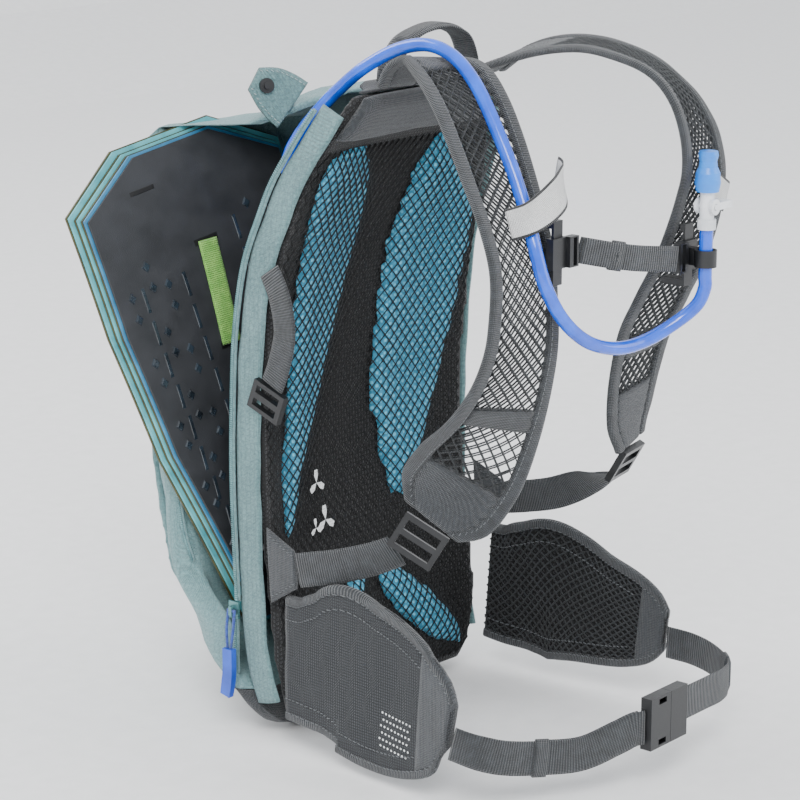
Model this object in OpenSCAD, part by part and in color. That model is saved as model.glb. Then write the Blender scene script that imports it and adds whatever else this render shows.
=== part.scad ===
// Hydration pack with a slide-out back protector, shown opened: the side zip is run down and the
// protector leans out of its sleeve. Z is up, -Y is the wearer's side, the open side is -X, and the
// origin is the middle of the underside. Soft goods scale with the overall sizes; hardware keeps its own.

/* [Pack] */
// Width of the pack across the back panel
pack_w = 234; // [210:1:285]
// Depth of the pack from the back panel to the front pocket
pack_d = 190; // [165:1:230]
// Height of the pack body
pack_h = 480; // [420:1:570]
// Fabric wall of the bag, lining included
bag_wall = 2.4; // [1.5:0.1:4]
// Fabric wall of the base boot
boot_wall = 3; // [2:0.1:5]

/* [Back panel] */
// Thickness of the foam and frame sheet
panel_t = 8; // [6:0.5:12]
// Height of the crown of each ventilated foam pad
pad_t = 7; // [4:0.5:10]
// Width of the side strips beside the protector opening
strip_w = 24; // [20:1:28]

/* [Harness] */
// Width of the shoulder straps at the chest
strap_w = 70; // [60:1:80]
// Thickness of the shoulder straps
strap_t = 9; // [6:0.5:10]
// Width of the lower strap webbing
web_w = 25; // [20:1:30]
// Width of the sternum strap
sternum_w = 18; // [15:1:22]
// Width of the hip belt webbing
belt_w = 25; // [20:1:30]
// Thickness of all webbing
web_t = 1.6; // [1:0.1:2.5]
// Height of the hip wings at the widest place
wing_h = 122; // [100:1:135]
// Thickness of the hip wings
wing_t = 7; // [5:0.5:10]

/* [Protector] */
// Widest part of the protector
prot_w = 191; // [160:1:196]
// Length of the protector
prot_h = 380; // [320:1:385]
// Thickness of the protector's three layers together
prot_t = 14; // [10:0.5:15]
// How far each layer of the rim steps in from the one behind it
prot_step = 4.5; // [3:0.5:6]

/* [Water] */
// Thickness of the filled reservoir in its middle
reservoir_t = 46; // [30:1:52]
// Diameter of the reservoir's screw cap
cap_d = 88; // [70:1:100]
// Diameter of the drinking hose
hose_d = 9.6; // [8:0.1:10]

/* [Hidden] */

// Shares of the sizes that the tables below were drawn at
kx = pack_w / 234;
ky = pack_d / 190;
kz = pack_h / 480;
GAP = 0.35;             // clearance between neighbouring pieces
STEPS = 3;              // spline steps between two stations

TEAL = [0.56, 0.71, 0.71];
CHARCOAL = [0.27, 0.29, 0.31];
BLACK = [0.09, 0.09, 0.10];
AQUA = [0.36, 0.69, 0.78];
HOSE_BLUE = [0.08, 0.42, 0.85];
WHITE = [0.95, 0.95, 0.95];
GREEN = [0.62, 0.83, 0.47];

// ---------------------------------------------------------------- helpers
function unit(v) = v / norm(v);
function scaled(p) = [p[0] * kx, p[1] * ky, p[2] * kz];
function head(s, n) = [for (i = [0:n - 1]) s[i]];
function flip(list) = [for (i = [len(list) - 1:-1:0]) list[i]];

// Smooth curve through a list of stations of any length
function between(a, b, c, d, t) =
    0.5 * (2 * b + (c - a) * t + (2 * a - 5 * b + 4 * c - d) * t * t + (3 * b - a - 3 * c + d) * t * t * t);
function smooth(s, n = STEPS) = let (e = len(s) - 1) concat(
    [for (i = [0:e - 1]) for (k = [0:n - 1])
        between(s[max(i - 1, 0)], s[i], s[i + 1], s[min(i + 2, e)], k / n)], [s[e]]);

// Closed solid through rings of equal length, each ring anticlockwise seen from the last ring's side.
// A paired ring goes along one side and back along the other, so its caps are strips of quads.
module skin(rings, paired = false) {
    n = len(rings[0]);
    m = len(rings);
    sides = [for (i = [0:m - 2]) for (j = [0:n - 1])
        let (a = i * n + j, b = i * n + (j + 1) % n) each [[a, b + n, b], [a, a + n, b + n]]];
    first = paired ? [for (j = [0:n / 2 - 2]) each [[j, j + 1, n - 2 - j], [j, n - 2 - j, n - 1 - j]]]
        : [[for (j = [0:n - 1]) j]];
    last = [for (f = first) [for (j = flip(f)) (m - 1) * n + j]];
    polyhedron([for (r = rings) each r], concat(first, sides, last));
}

// Flat strip along stations [x, y, z, across x, y, z, width, thickness]; soft ones have thinned edges
function strip_ring(s, t, soft) = let (
    p = head(s, 3),
    raw = [s[3], s[4], s[5]],
    a = unit(raw - t * (raw * t)),
    n = cross(t, a),
    w = s[6] / 2,
    h = s[7] / 2,
    e = min(w * 0.3, s[7]))
    soft ? [for (q = [[-w, -h * 0.4], [-w + e, -h], [w - e, -h], [w, -h * 0.4],
                      [w, h * 0.4], [w - e, h], [-w + e, h], [-w, h * 0.4]]) p + a * q[0] + n * q[1]]
         : [for (q = [[-w, -h], [w, -h], [w, h], [-w, h]]) p + a * q[0] + n * q[1]];
function strip_rings(stations, soft = false, n = STEPS) = let (
    s = smooth(stations, n), e = len(s) - 1)
    [for (i = [0:e])
        strip_ring(s[i], unit(head(s[min(i + 1, e)], 3) - head(s[max(i - 1, 0)], 3)), soft)];
module strip(stations, soft = false, n = STEPS) {
    skin(strip_rings(stations, soft, n));
}
// Station of a strip, its place scaled with the pack
function st(x, y, z, across, w, t) = concat(scaled([x, y, z]), across, [w, t]);
function mirrored(stations) = [for (s = stations) [-s[0], s[1], s[2], s[3], -s[4], -s[5], s[6], s[7]]];

// Round tube along points
function turned(v, to) = unit(v - to * (v * to));
function frames(p, t, i, a) = i == len(p) ? [] :
    let (b = turned(a, t[i])) concat([b], frames(p, t, i + 1, b));
module tube(points, d, sides = 10, n = STEPS, start = [0, 0, 1]) {
    p = smooth(points, n);
    e = len(p) - 1;
    t = [for (i = [0:e]) unit(p[min(i + 1, e)] - p[max(i - 1, 0)])];
    a = frames(p, t, 0, start);
    skin([for (i = [0:e]) let (b = cross(t[i], a[i]))
        [for (k = [0:sides - 1]) p[i] + d / 2 * (a[i] * cos(360 * k / sides) + b * sin(360 * k / sides))]]);
}

// Places a hard piece: its X along a, its Y along d, its Z along their cross product
module placed(p, a, d) {
    u = unit(a);
    v = unit(d - u * (d * u));
    w = cross(u, v);
    multmatrix([[u[0], v[0], w[0], p[0]], [u[1], v[1], w[1], p[1]], [u[2], v[2], w[2], p[2]], [0, 0, 0, 1]])
        children();
}
module block(size, at = [0, 0, 0]) {
    translate(at - size / 2) cube(size);
}

// ---------------------------------------------------------------- bag
// Levels of the bag: z, then the open (-X) side's back edge x and y, the back wall's y inside that edge
// and near the middle, the back edge's y on the closed (+X) side, both side walls' x, and the front's y
// at the -X side, in the middle and at the +X side.
BAG_LEVELS = [
    [0, -70, -24, -24, -22, -24, -76, 76, 2, 60, 6],
    [12, -98, -24, -22, -20, -24, -104, 104, 0, 86, 6],
    [24, -111, -14, -20, -20, -14, -113, 113, 8, 104, 14],
    [34, -113, -2, -14, -18, -6, -115, 115, 22, 114, 26],
    [43, -114, 4, 0, -10, -2, -116, 116, 38, 122, 40],
    [54, -115, 6, 34, 18, 0, -117, 117, 54, 128, 54],
    [80, -115, 7, 44, 23, 3, -117, 117, 68, 137, 66],
    [96, -115, 8, 48, 25, 4, -117, 117, 76, 141, 73],
    [108, -102, 50, 50, 26, 4, -117, 117, 80, 143, 76],
    [150, -113, 54, 50, 28, 4, -118, 118, 90, 148, 84],
    [200, -114, 61, 54, 32, 3, -118, 118, 98, 150, 90],
    [250, -114, 70, 62, 38, 1, -118, 118, 104, 152, 90],
    [300, -114, 79, 71, 46, -2, -117, 117, 109, 150, 84],
    [350, -114, 91, 83, 57, -9, -116, 116, 114, 143, 72],
    [390, -112, 100, 93, 66, -22, -114, 112, 118, 126, 56],
    [425, -100, 104, 99, 68, -38, -103, 106, 118, 102, 36],
    [447.5, -80, 106, 102, 64, -47, -86, 98, 112, 92, 20],
    [453, -58, 28, 28, 10, -51, -61, 93, 54, 56, 12],
    [457.5, -51, -4, -6, -28, -54, -55, 90, 28, 38, 4],
    [466, -44, -26, -28, -38, -60, -48, 84, 2, 16, -14],
    [472, -34, -36, -38, -44, -62, -38, 74, -16, -6, -26]];
BACK_STEPS = 2;
FRONT_STEPS = 4;
EDGE_IN = 24;           // how far inside the open edge the wall's second point lies
MID_X = 28;             // where the wall's middle point lies
FRONT_IN = 27;          // how far inside the side walls the front's corners lie
SEAM_LEVEL = 3;         // level at which the boot's rim meets the bag
ROOM_LEVEL = 14;        // level at which the bag's room ends

function level_ring(v) = let (
    z = v[0] * kz,
    bl = [v[1], v[2]],
    br = [v[7] - 4, v[5]],
    back = [bl, [min(v[1] + EDGE_IN, -20), v[3]], [MID_X, v[4]], br],
    front = [br, [v[7], (v[5] + v[10]) / 2], [v[7] - FRONT_IN, v[10]], [0, v[9]],
        [v[6] + FRONT_IN * 0.9, v[8]], [v[6], (v[2] + v[8]) / 2], bl],
    a = smooth(back, BACK_STEPS),
    b = smooth(front, FRONT_STEPS),
    flat = concat([for (i = [0:len(a) - 2]) a[i]], [for (i = [0:len(b) - 2]) b[i]]))
    [for (q = flat) [q[0] * kx, q[1] * ky, z]];
BACK_COUNT = 3 * BACK_STEPS;
FRONT_COUNT = 6 * FRONT_STEPS;
// Room inside the bag at a level: a plain outline that keeps at least the wall clear all round
function room_ring(v, w) = let (
    side = v[8] - v[2] > 28 ? v[6] + 2.2 * w : v[6] + 9 * w,
    right = v[10] - v[5] > 28 ? v[7] - 2.2 * w : v[7] - 6 * w,
    k = (v[4] - v[5]) / 28,
    fall = (v[4] - v[5]) / (v[7] - 4 - MID_X),
    rise = max((4 + k) * w, ((5 + k) * w - 4) * fall + 3 * w))
    [for (q = [[min(v[1] + EDGE_IN, -20), v[3] + 2.6 * w], [MID_X, v[4] + (2 + k) * w],
        [v[7] - (5 + k) * w, v[5] + rise],
        [right, (v[5] + v[10]) / 2], [v[7] - FRONT_IN, v[10] - 1.6 * w], [0, v[9] - 1.3 * w],
        [v[6] + FRONT_IN, v[8] - 2 * w], [side, (v[2] + v[8]) / 2]]) [q[0] * kx, q[1] * ky, v[0] * kz]];
// The room's ceiling is drawn in to a small ring above its last level
function ceiling(ring, r, rise) = let (c = (2 * ring[1] + ring[4] + ring[5]) / 4)
    [for (p = ring) c + r * unit(p - c) + [0, 0, rise]];
function outward(ring, off) = let (n = len(ring)) [for (i = [0:n - 1]) let (
    t = unit(ring[(i + 1) % n] - ring[(i + n - 1) % n])) ring[i] - off * [-t[1], t[0], 0]];
function at_level(z) = let (
    zs = [for (v = BAG_LEVELS) v[0]],
    i = max([for (k = [0:len(zs) - 2]) zs[k] <= z ? k : 0]),
    t = (z - zs[i]) / (zs[i + 1] - zs[i]))
    BAG_LEVELS[i] * (1 - t) + BAG_LEVELS[i + 1] * t;
function ring_at(z) = level_ring(at_level(z));
function lowered(ring, dz) = [for (p = ring) [p[0], p[1], p[2] + dz]];

module bag_shell() {
    last = len(BAG_LEVELS) - 1;
    inner = [for (i = [SEAM_LEVEL:ROOM_LEVEL]) room_ring(BAG_LEVELS[i], bag_wall)];
    difference() {
        skin([for (i = [SEAM_LEVEL:last]) level_ring(BAG_LEVELS[i])]);
        skin(concat([lowered(inner[0], -1)], inner, [ceiling(inner[len(inner) - 1], 8, 5)]));
    }
}
module main_bag() {
    color(TEAL) difference() {
        bag_shell();
        translate(PORT) rotate([90, 0, 0]) cylinder(d = PORT_D + 2 * GAP, h = 30, center = true, $fn = 32);
    }
}
module base_boot() {
    inner = [for (i = [0:SEAM_LEVEL]) room_ring(BAG_LEVELS[i], boot_wall)];
    color(CHARCOAL) difference() {
        skin([for (i = [0:SEAM_LEVEL]) level_ring(BAG_LEVELS[i])]);
        skin(concat([lowered(inner[0], boot_wall)], [for (i = [1:SEAM_LEVEL]) inner[i]], [lowered(inner[SEAM_LEVEL], 1)]));
    }
}

// Front pocket: a skin that stands off the bag's front between two levels
POCKET_Z = [96, 108, 150, 200, 250, 300, 318];
pocket_t = 6;
pocket_off = 1.4;       // stands clear of the bag's folds
function front_part(z, off) = let (
    ring = outward(ring_at(z), off), from = BACK_COUNT + FRONT_STEPS * 2 - 1, to = BACK_COUNT + FRONT_STEPS * 4 + 1)
    [for (i = [from:to]) ring[i]];
module front_pocket() {
    color(TEAL) skin([for (i = [0:len(POCKET_Z) - 1]) let (
        edge = i == 0 || i == len(POCKET_Z) - 1 ? 2 : pocket_t)
        concat(flip(front_part(POCKET_Z[i], pocket_off)), front_part(POCKET_Z[i], pocket_off + edge))], paired = true);
}
ZIP_X = 40;
ZIP_Z = [150, 290];
pocket_y = max([for (z = [150:20:290]) for (p = front_part(z, pocket_off + pocket_t)) abs(p[0] - ZIP_X) < 26 ? p[1] : 0]);
module pocket_zip() {
    z = ZIP_Z * kz;
    color(BLACK) block([9, 2, z[1] - z[0]], [ZIP_X * kx, pocket_y + GAP + 1, (z[0] + z[1]) / 2]);
}
module pocket_zip_slider() {
    y = pocket_y + GAP + 2;
    color(BLACK) translate([ZIP_X * kx, y, (ZIP_Z[1] - 12) * kz]) {
        block([8, 1.8, 11], [0, 1.2, 0]);
        block([3, 3, 5], [0, 3.4, 1]);
        block([7, 1.6, 30], [0, 4.6, -14]);
    }
}

// ---------------------------------------------------------------- back panel
BACK_CURVE = [[0, -40], [50, -39], [136, -29], [184, -24], [248, -22], [313, -30], [366, -40], [420, -58], [480, -84]];
HOLLOW = [[0, 6], [60, 8], [120, 12], [200, 16], [350, 16], [430, 10], [480, 4]];
PANEL_HALF = [[10, 94], [24, 106], [60, 114], [320, 114], [366, 112], [400, 107], [430, 98], [455, 86], [476, 74]];
function back_y(x, z) = (lookup(z / kz, BACK_CURVE) + lookup(z / kz, HOLLOW) * (1 - pow(min(abs(x / kx) / 112, 1), 2))) * ky;
function even(from, to, n) = [for (i = [0:n]) from + (to - from) * i / n];
// Slab that follows the back's curve between two edges, from off to off + crown, crowned across
function slab_ring(z, x0, x1, off, crown, edge, n) = let (
    xs = [for (i = [0:n]) x0 + (x1 - x0) * i / n])
    concat([for (i = [0:n]) let (c = edge + (crown - edge) * sqrt(1 - pow(2 * i / n - 1, 4)))
            [xs[i], back_y(xs[i], z) - off - c, z]],
        [for (i = [n:-1:0]) [xs[i], back_y(xs[i], z) - off, z]]);
module back_panel() {
    color(CHARCOAL) skin([for (z = even(PANEL_HALF[0][0], 476, 36) * kz) let (h = lookup(z / kz, PANEL_HALF) * kx)
        slab_ring(z, -h, h, -panel_t, panel_t, panel_t, 14)]);
}
// Pads: rows of height, left edge, right edge
PAD_UL = [[146, -96, -88], [164, -95, -76], [220, -92, -54], [248, -91, -42], [300, -92, -28], [330, -92, -22],
    [372, -92, -15], [405, -95, -18], [422, -92, -24], [438, -78, -42]];
PAD_UR = [[148, 36, 58], [166, 28, 68], [200, 19, 80], [240, 13, 92], [290, 13, 104], [334, 14, 108], [358, 16, 108],
    [383, 19, 103], [404, 22, 92], [421, 26, 78], [438, 40, 58]];
PAD_LR = [[24, 80, 92], [38, 50, 94], [50, 36, 88], [65, 20, 75], [80, 10, 61], [93, 5, 47], [104, 4, 26], [110, 7, 15]];
pad_edge = 2.5;
pad_off = 0.65;
module pad(rows, side = 1) {
    e = len(rows) - 1;
    n = ceil((rows[e][0] - rows[0][0]) / 13);
    zs = even(rows[0][0], rows[e][0], n);
    low = [for (r = rows) [r[0], r[1]]];
    high = [for (r = rows) [r[0], r[2]]];
    color(AQUA) skin([for (i = [0:n]) let (
        x = [lookup(zs[i], low) * kx, lookup(zs[i], high) * kx])
        slab_ring(zs[i] * kz, side < 0 ? -x[1] : x[0], side < 0 ? -x[0] : x[1], pad_off,
            i == 0 || i == n ? pad_edge : pad_t, pad_edge, 8)]);
}
module pad_upper_left() { pad(PAD_UL); }
module pad_upper_right() { pad(PAD_UR); }
module pad_lower_left() { pad(PAD_LR, -1); }
module pad_lower_right() { pad(PAD_LR); }
// Net: a thin skin stretched over the pads
net_t = 0.6;
module back_net() {
    color(BLACK, 0.35) skin([for (z = even(14, 434, 32) * kz) let (h = (lookup(z / kz, PANEL_HALF) - 4) * kx)
        slab_ring(z, -h, h, pad_off + pad_t + 0.5, net_t, net_t, 12)]);
}
// Yoke: the padded band across the top of the panel that the shoulder straps leave from
yoke_z = [441, 478];
module yoke_pad() {
    zs = [for (i = [0:6]) (yoke_z[0] + (yoke_z[1] - yoke_z[0]) * i / 6)];
    color(CHARCOAL) skin([for (i = [0:6]) let (z = zs[i] * kz, h = (lookup(zs[i], PANEL_HALF) - 2) * kx)
        slab_ring(z, -h, h, GAP, i == 0 || i == 6 ? 6 : 11, 4, 12)]);
}
// Cover: closes the top between the back panel and the bag
cover_t = 3;
COVER_TOP = 476 * kz + GAP + cover_t;
module top_cover() {
    y = back_y(0, 476 * kz);
    color(CHARCOAL) skin([for (s = [[74, 0], [60, 6], [47, 22], [28, 34]])
        [for (q = [[-1, -cover_t], [1, -cover_t], [1, 0], [-1, 0]]) [q[0] * s[0] * kx, y + s[1], COVER_TOP + q[1]]]]);
}
// Side strips beside the panel: middle of the strip and its depth
STRIP = [[30, -114, -25], [60, -116, -17], [97, -116.5, -13], [190, -117, -10], [250, -117, -11], [306, -116.5, -15],
    [355, -115, -23], [392, -111.5, -36], [415, -108, -45], [435, -101.5, -54], [452, -93, -60], [466, -86, -66]];
// The closed side's strip is narrower at its top, beside the bag's shoulder
FAR_WIDTH = [[392, 1], [435, 0.8], [452, 0.62], [466, 0.42]];
function strip_stations(side) = [for (s = STRIP) let (share = side > 0 ? 1 : lookup(s[0], FAR_WIDTH))
    st(side * s[1], s[2] - (1 - share) * strip_w / 2, s[0], [0.1 * side, 1, 0], strip_w * share, 3)];
module side_strip_left() { color(TEAL) strip(strip_stations(1), n = 2); }
module side_strip_right() { color(TEAL) strip(flip(strip_stations(-1)), n = 2); }

// ---------------------------------------------------------------- flap
FLAP = [st(-54.5, 0.5, 460.5, [34, -13, 22], 40, 2.6), st(-61, 5.5, 467, [34, -13, 24], 38, 2.6),
    st(-69, 11, 474, [34, -13, 24], 32, 2.6), st(-77.5, 17, 480.5, [30, -10, 24], 18, 2.6)];
module top_flap() {
    color(TEAL) strip(FLAP, n = 2);
}
module flap_snap() {
    color(BLACK) placed(scaled([-70.5, 12.2, 475]), [34, -13, 24], [-21, 14, 17]) {
        translate([0, 0, 1.3 + GAP]) cylinder(d = 11, h = 2.2, $fn = 32);
        translate([0, 0, 3.5 + GAP]) cylinder(d = 5, h = 1.6, $fn = 32);
    }
}

// ---------------------------------------------------------------- protector zip
CHAIN_X = -117.2;
chain_w = 5;
chain_t = 2.4;
slider_z = 97;
OPEN_STRIP = [for (q = [[-118.8, 0, 104], [-119.3, 3, 190], [-119.3, 2, 250], [-118.8, -1, 306], [-117.4, -9, 355],
    [-113.8, -21.5, 392], [-110.2, -30, 415], [-103.8, -39, 435], [-95.2, -45, 452], [-88.2, -51, 466]])
    st(q[0], q[1], q[2], [0.1, 1, 0], chain_w, chain_t)];
OPEN_BAG = [for (z = [122, 150, 200, 250, 300, 350, 390, 422]) let (v = at_level(z))
    st(v[1] - 4.9, v[2] + 1, z, [0.25, 1, 0], chain_w, chain_t)];
module zip_chain_strip() { color(TEAL) strip(OPEN_STRIP, n = 2); }
module zip_chain_bag() { color(TEAL) strip(OPEN_BAG, n = 2); }
module zip_chain_closed() {
    color(TEAL) block([chain_t, chain_w, 52 * kz], [CHAIN_X * kx - 1, 2.6 * ky, 74 * kz]);
}
SLIDER = [CHAIN_X * kx - 1 - chain_t / 2, 2.6 * ky, slider_z * kz];
module zip_slider() {
    color(BLACK) translate(SLIDER) {
        block([1.8, 9.4, 13], [-GAP - 0.9, 0, 0]);
        for (side = [-1, 1]) block([2, 1, 11], [-GAP, side * (chain_w / 2 + GAP + 0.5), 0]);
        difference() {
            block([4, 3, 7], [-GAP - 3.7, 0, 0]);
            translate([-GAP - 4, 0, 0]) rotate([90, 0, 0]) cylinder(d = 2.8, h = 8, center = true, $fn = 24);
        }
    }
}
PULL = SLIDER + [-GAP - 4, 0, 0];
cord_d = 2.2;
module zip_pull_cord() {
    drop = 28;
    color([0.13, 0.33, 0.72]) {
        translate(PULL) rotate([90, 0, 0]) cylinder(d = cord_d, h = 6, center = true, $fn = 24);
        for (side = [-1, 1]) {
            translate(PULL + [0, side * 3, 0]) sphere(d = cord_d + 0.2, $fn = 24);
            tube([PULL + [0, side * 3, 0], PULL + [-2, side * 3.2, -drop / 2], PULL + [-3, side * 1.6, -drop]],
                cord_d, 10, 3, [1, 0, 0]);
        }
    }
}
module zip_pull_grip() {
    top = PULL + [-3, 0, -28 - GAP];
    color([0.11, 0.27, 0.62]) strip([
        concat(top, [0, 1, 0], [9, 5]), concat(top + [0, 0, -16], [0, 1, 0], [9, 5]),
        concat(top + [0.5, 1.5, -26], [0, 1, 0], [9.5, 5]), concat(top + [1, 4, -37], [0, 1, 0.3], [9, 4.5])], n = 2);
}

// ---------------------------------------------------------------- protector
// Its place: top middle of the front face, turned, rolled and leaning back, bent along its length
PROT_TOP = [-99, 84, 439.2];
prot_yaw = -12;
prot_roll = -12.7;
lean_top = 16.3;
lean_end = 1.3;
PROT_HALF = [[0, 0.456], [0.088, 1], [0.334, 0.998], [0.595, 0.892], [0.926, 0.589], [1, 0.5]];
function prot_point(u, s, t) = let (
    k = (lean_top - lean_end) / prot_h,
    phi = lean_top - k * s,
    r = 180 / (PI * k),
    y = -r * (cos(phi) - cos(lean_top)),
    z = -r * (sin(lean_top) - sin(phi)),
    q = [u, y + t * cos(phi), z - t * sin(phi)],
    a = [q[0] * cos(prot_roll) + q[2] * sin(prot_roll), q[1], -q[0] * sin(prot_roll) + q[2] * cos(prot_roll)])
    scaled(PROT_TOP) + [a[0] * cos(prot_yaw) - a[1] * sin(prot_yaw), a[0] * sin(prot_yaw) + a[1] * cos(prot_yaw), a[2]];
module plate(inset, t0, t1) {
    ss = [0, 0.044, 0.088, 0.17, 0.25, 0.334, 0.42, 0.51, 0.595, 0.68, 0.76, 0.84, 0.926, 1];
    skin(flip([for (v = ss) let (
        h = lookup(v, PROT_HALF) * prot_w / 2 - inset,
        s = inset + v * (prot_h - 2 * inset))
        [prot_point(-h, s, t0), prot_point(h, s, t0), prot_point(h, s, t1), prot_point(-h, s, t1)]]));
}
layer_t = prot_t / 3;
module protector_rear() { color([0.36, 0.36, 0.20]) plate(0, prot_t - layer_t + GAP / 4, prot_t); }
module protector_middle() { color([0.30, 0.55, 0.60]) plate(prot_step, layer_t + GAP / 4, prot_t - layer_t); }
module protector_face() { color(CHARCOAL) plate(2 * prot_step, 0, layer_t); }
module protector_loop() {
    w = 8;
    color(GREEN) skin(flip([for (v = [88, 105, 122, 140, 157]) let (u = 1 - (v - 88) * 0.09)
        [for (c = [[-w, -2], [w, -2], [w, -GAP / 2], [-w, -GAP / 2]]) prot_point(u + c[0], v, c[1])]]));
}

// ---------------------------------------------------------------- water
PORT = [66 * kx, 25 * ky, 350 * kz];
PORT_D = 16;
// Rows of height, middle, half width and share of the full thickness
RES = [[60, 58, 50, 0.2], [66, 60, 62, 0.55], [110, 65, 72, 1], [150, 67, 74, 1], [200, 71, 74, 1], [250, 77, 74, 1],
    [300, 84, 74, 1], [345, 91, 66, 0.75], [372, 94, 48, 0.4], [380, 95, 36, 0.2]];
RES_YAW = -11;
module reservoir() {
    n = 8;
    color([0.55, 0.75, 0.9, 0.6]) skin([for (r = RES)
        [for (k = [0:2 * n - 1]) let (
            a = 180 + 180 * k / n,
            u = r[2] * kx * sign(cos(a)) * pow(abs(cos(a)), 0.6),
            v = r[3] * reservoir_t / 2 * sign(sin(a)) * pow(abs(sin(a)), 0.8))
            [u * cos(RES_YAW) - v * sin(RES_YAW), r[1] * ky + u * sin(RES_YAW) + v * cos(RES_YAW), r[0] * kz]]]);
}
cap_z = 312;
module reservoir_cap() {
    y = lookup(cap_z, [for (r = RES) [r[0], r[1]]]) * ky;
    color(HOSE_BLUE) translate([0, y, cap_z * kz]) rotate([0, 0, RES_YAW]) rotate([-90, 0, 0]) {
        translate([0, 0, reservoir_t / 2 + GAP]) {
            cylinder(d = cap_d, h = 5, $fn = 64);
            cylinder(d = cap_d - 8, h = 9, $fn = 64);
            for (a = [0:30:330]) rotate([0, 0, a]) translate([cap_d / 2, 0, 0]) cylinder(d = 7, h = 5, $fn = 24);
        }
    }
}
LINK = [64 * kx, 31 * ky, 112 * kz];
module quick_link() {
    color(HOSE_BLUE) translate(LINK) {
        cylinder(d = 11.4, h = 24, center = true, $fn = 32);
        rotate([-90, 0, 0]) cylinder(d = 14, h = 6.8, $fn = 32);
    }
}
HOSE_INSIDE = [[64, 31.5, 124.6], [64, 31.5, 134], [64, 32.5, 160], [64, 36, 200], [64, 40, 250], [64, 45, 300],
    [65, 47, 324], [66, 44, 342], [66, 37, 350], [66, 30.8, 350]];
module hose_inner() {
    color(HOSE_BLUE) tube(HOSE_INSIDE, hose_d, 10, 3, [1, 0, 0]);
}
module hose_port() {
    color(BLACK) translate(PORT) rotate([90, 0, 0]) difference() {
        cylinder(d = PORT_D, h = 9, center = true, $fn = 32);
        cylinder(d = hose_d + 2 * GAP, h = 20, center = true, $fn = 32);
    }
}
// The drinking hose: out of the port, across the sleeve, over the top and down the left strap, round the
// loop in front of the chest and straight up through the clip to the valve
HOSE = [[66, 29.6, 350], [66, 22, 350], [66, 14, 350], [57, 5, 350], [38, 2, 350], [14, 2, 352], [-12, 2, 358], [-36, 2, 372], [-54, 2, 394],
    [-61, 0, 420], [-60, -10, 440], [-57, -27, 460], [-55, -45, 477], [-53, -66, 493], [-49, -92, 507], [-47, -118, 512],
    [-49, -142, 506], [-54, -165, 490], [-60, -187, 464], [-66, -207, 436], [-72, -224, 408], [-76, -235, 384],
    [-73, -241, 362], [-58, -245, 338], [-32, -247, 319], [-2, -250, 310], [24, -256, 312], [44, -267, 323],
    [54, -277, 335], [57, -281, 347], [57, -281, 355], [57, -281, 370], [57, -281, 388]];
module drinking_hose() {
    color(HOSE_BLUE) tube(HOSE, hose_d, 10, 2, [1, 0, 0]);
}
VALVE = [57, -281, 388];
PIN_D = 4;              // pin that the shut-off lever turns on
module valve_body() {
    color(WHITE) translate(VALVE + [0, 0, GAP]) {
        cylinder(d = 13, h = 7, $fn = 32);
        cylinder(d = 10, h = 26, $fn = 32);
        translate([0, 0, LEVER_Z]) rotate([90, 0, 0]) cylinder(d = PIN_D, h = 16, center = true, $fn = 32);
    }
}
LEVER_Z = 16;
lever_in = 5 + GAP;     // inside half width of the lever's fork
module shutoff_lever() {
    color([0.85, 0.86, 0.88]) translate(VALVE + [0, 0, GAP + LEVER_Z]) difference() {
        union() {
            for (side = [-1, 1]) {
                translate([0, side * (lever_in + 1), 0]) rotate([90, 0, 0]) cylinder(d = 11, h = 2, center = true, $fn = 32);
                block([16, 2, 5], [8, side * (lever_in + 1), 0]);
            }
            block([8, 2 * lever_in + 4, 5], [16.5, 0, 0]);
        }
        rotate([90, 0, 0]) cylinder(d = PIN_D + 2 * GAP, h = 30, center = true, $fn = 32);
    }
}
module bite_valve() {
    color([0.35, 0.65, 0.95]) translate(VALVE + [0, 0, 26 + 2 * GAP]) {
        rotate_extrude($fn = 40) polygon([[0, 0], [8, 0], [9, 6], [8.4, 13], [6.5, 17], [6, 21], [7, 25], [6.4, 28], [0, 29]]);
    }
}

// ---------------------------------------------------------------- shoulder straps
STRAP_L = [
    st(-48, -94, 483, [1, 0, 0], 50, strap_t), st(-47, -105, 497, [1, -0.1, 0], 56, strap_t),
    st(-46, -122, 501.5, [0.94, -0.34, -0.1], 60, strap_t), st(-50, -142, 495, [0.96, -0.3, 0], 63, strap_t),
    st(-56, -162, 478, [0.97, -0.25, 0], 65, strap_t), st(-62, -180, 455, [0.98, -0.2, 0], 66, strap_t),
    st(-69, -199, 427, [1, -0.1, 0], 68, strap_t), st(-75, -215, 401, [1, 0, 0], strap_w, strap_t),
    st(-79, -226, 375, [1, 0, 0], strap_w, strap_t), st(-80, -228, 345, [1, -0.05, 0], strap_w, strap_t),
    st(-80, -226, 318, [0.99, -0.14, 0], strap_w, strap_t), st(-80, -217, 288, [0.96, -0.28, 0], strap_w + 2, strap_t),
    st(-81, -202, 256, [0.86, -0.5, -0.1], strap_w + 5, strap_t), st(-84, -184, 226, [0.6, -0.72, -0.34], strap_w + 8, strap_t),
    st(-88, -168, 203, [0.4, -0.78, -0.48], strap_w + 4, strap_t), st(-93, -160, 190, [0.37, -0.78, -0.5], 48, strap_t)];
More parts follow.
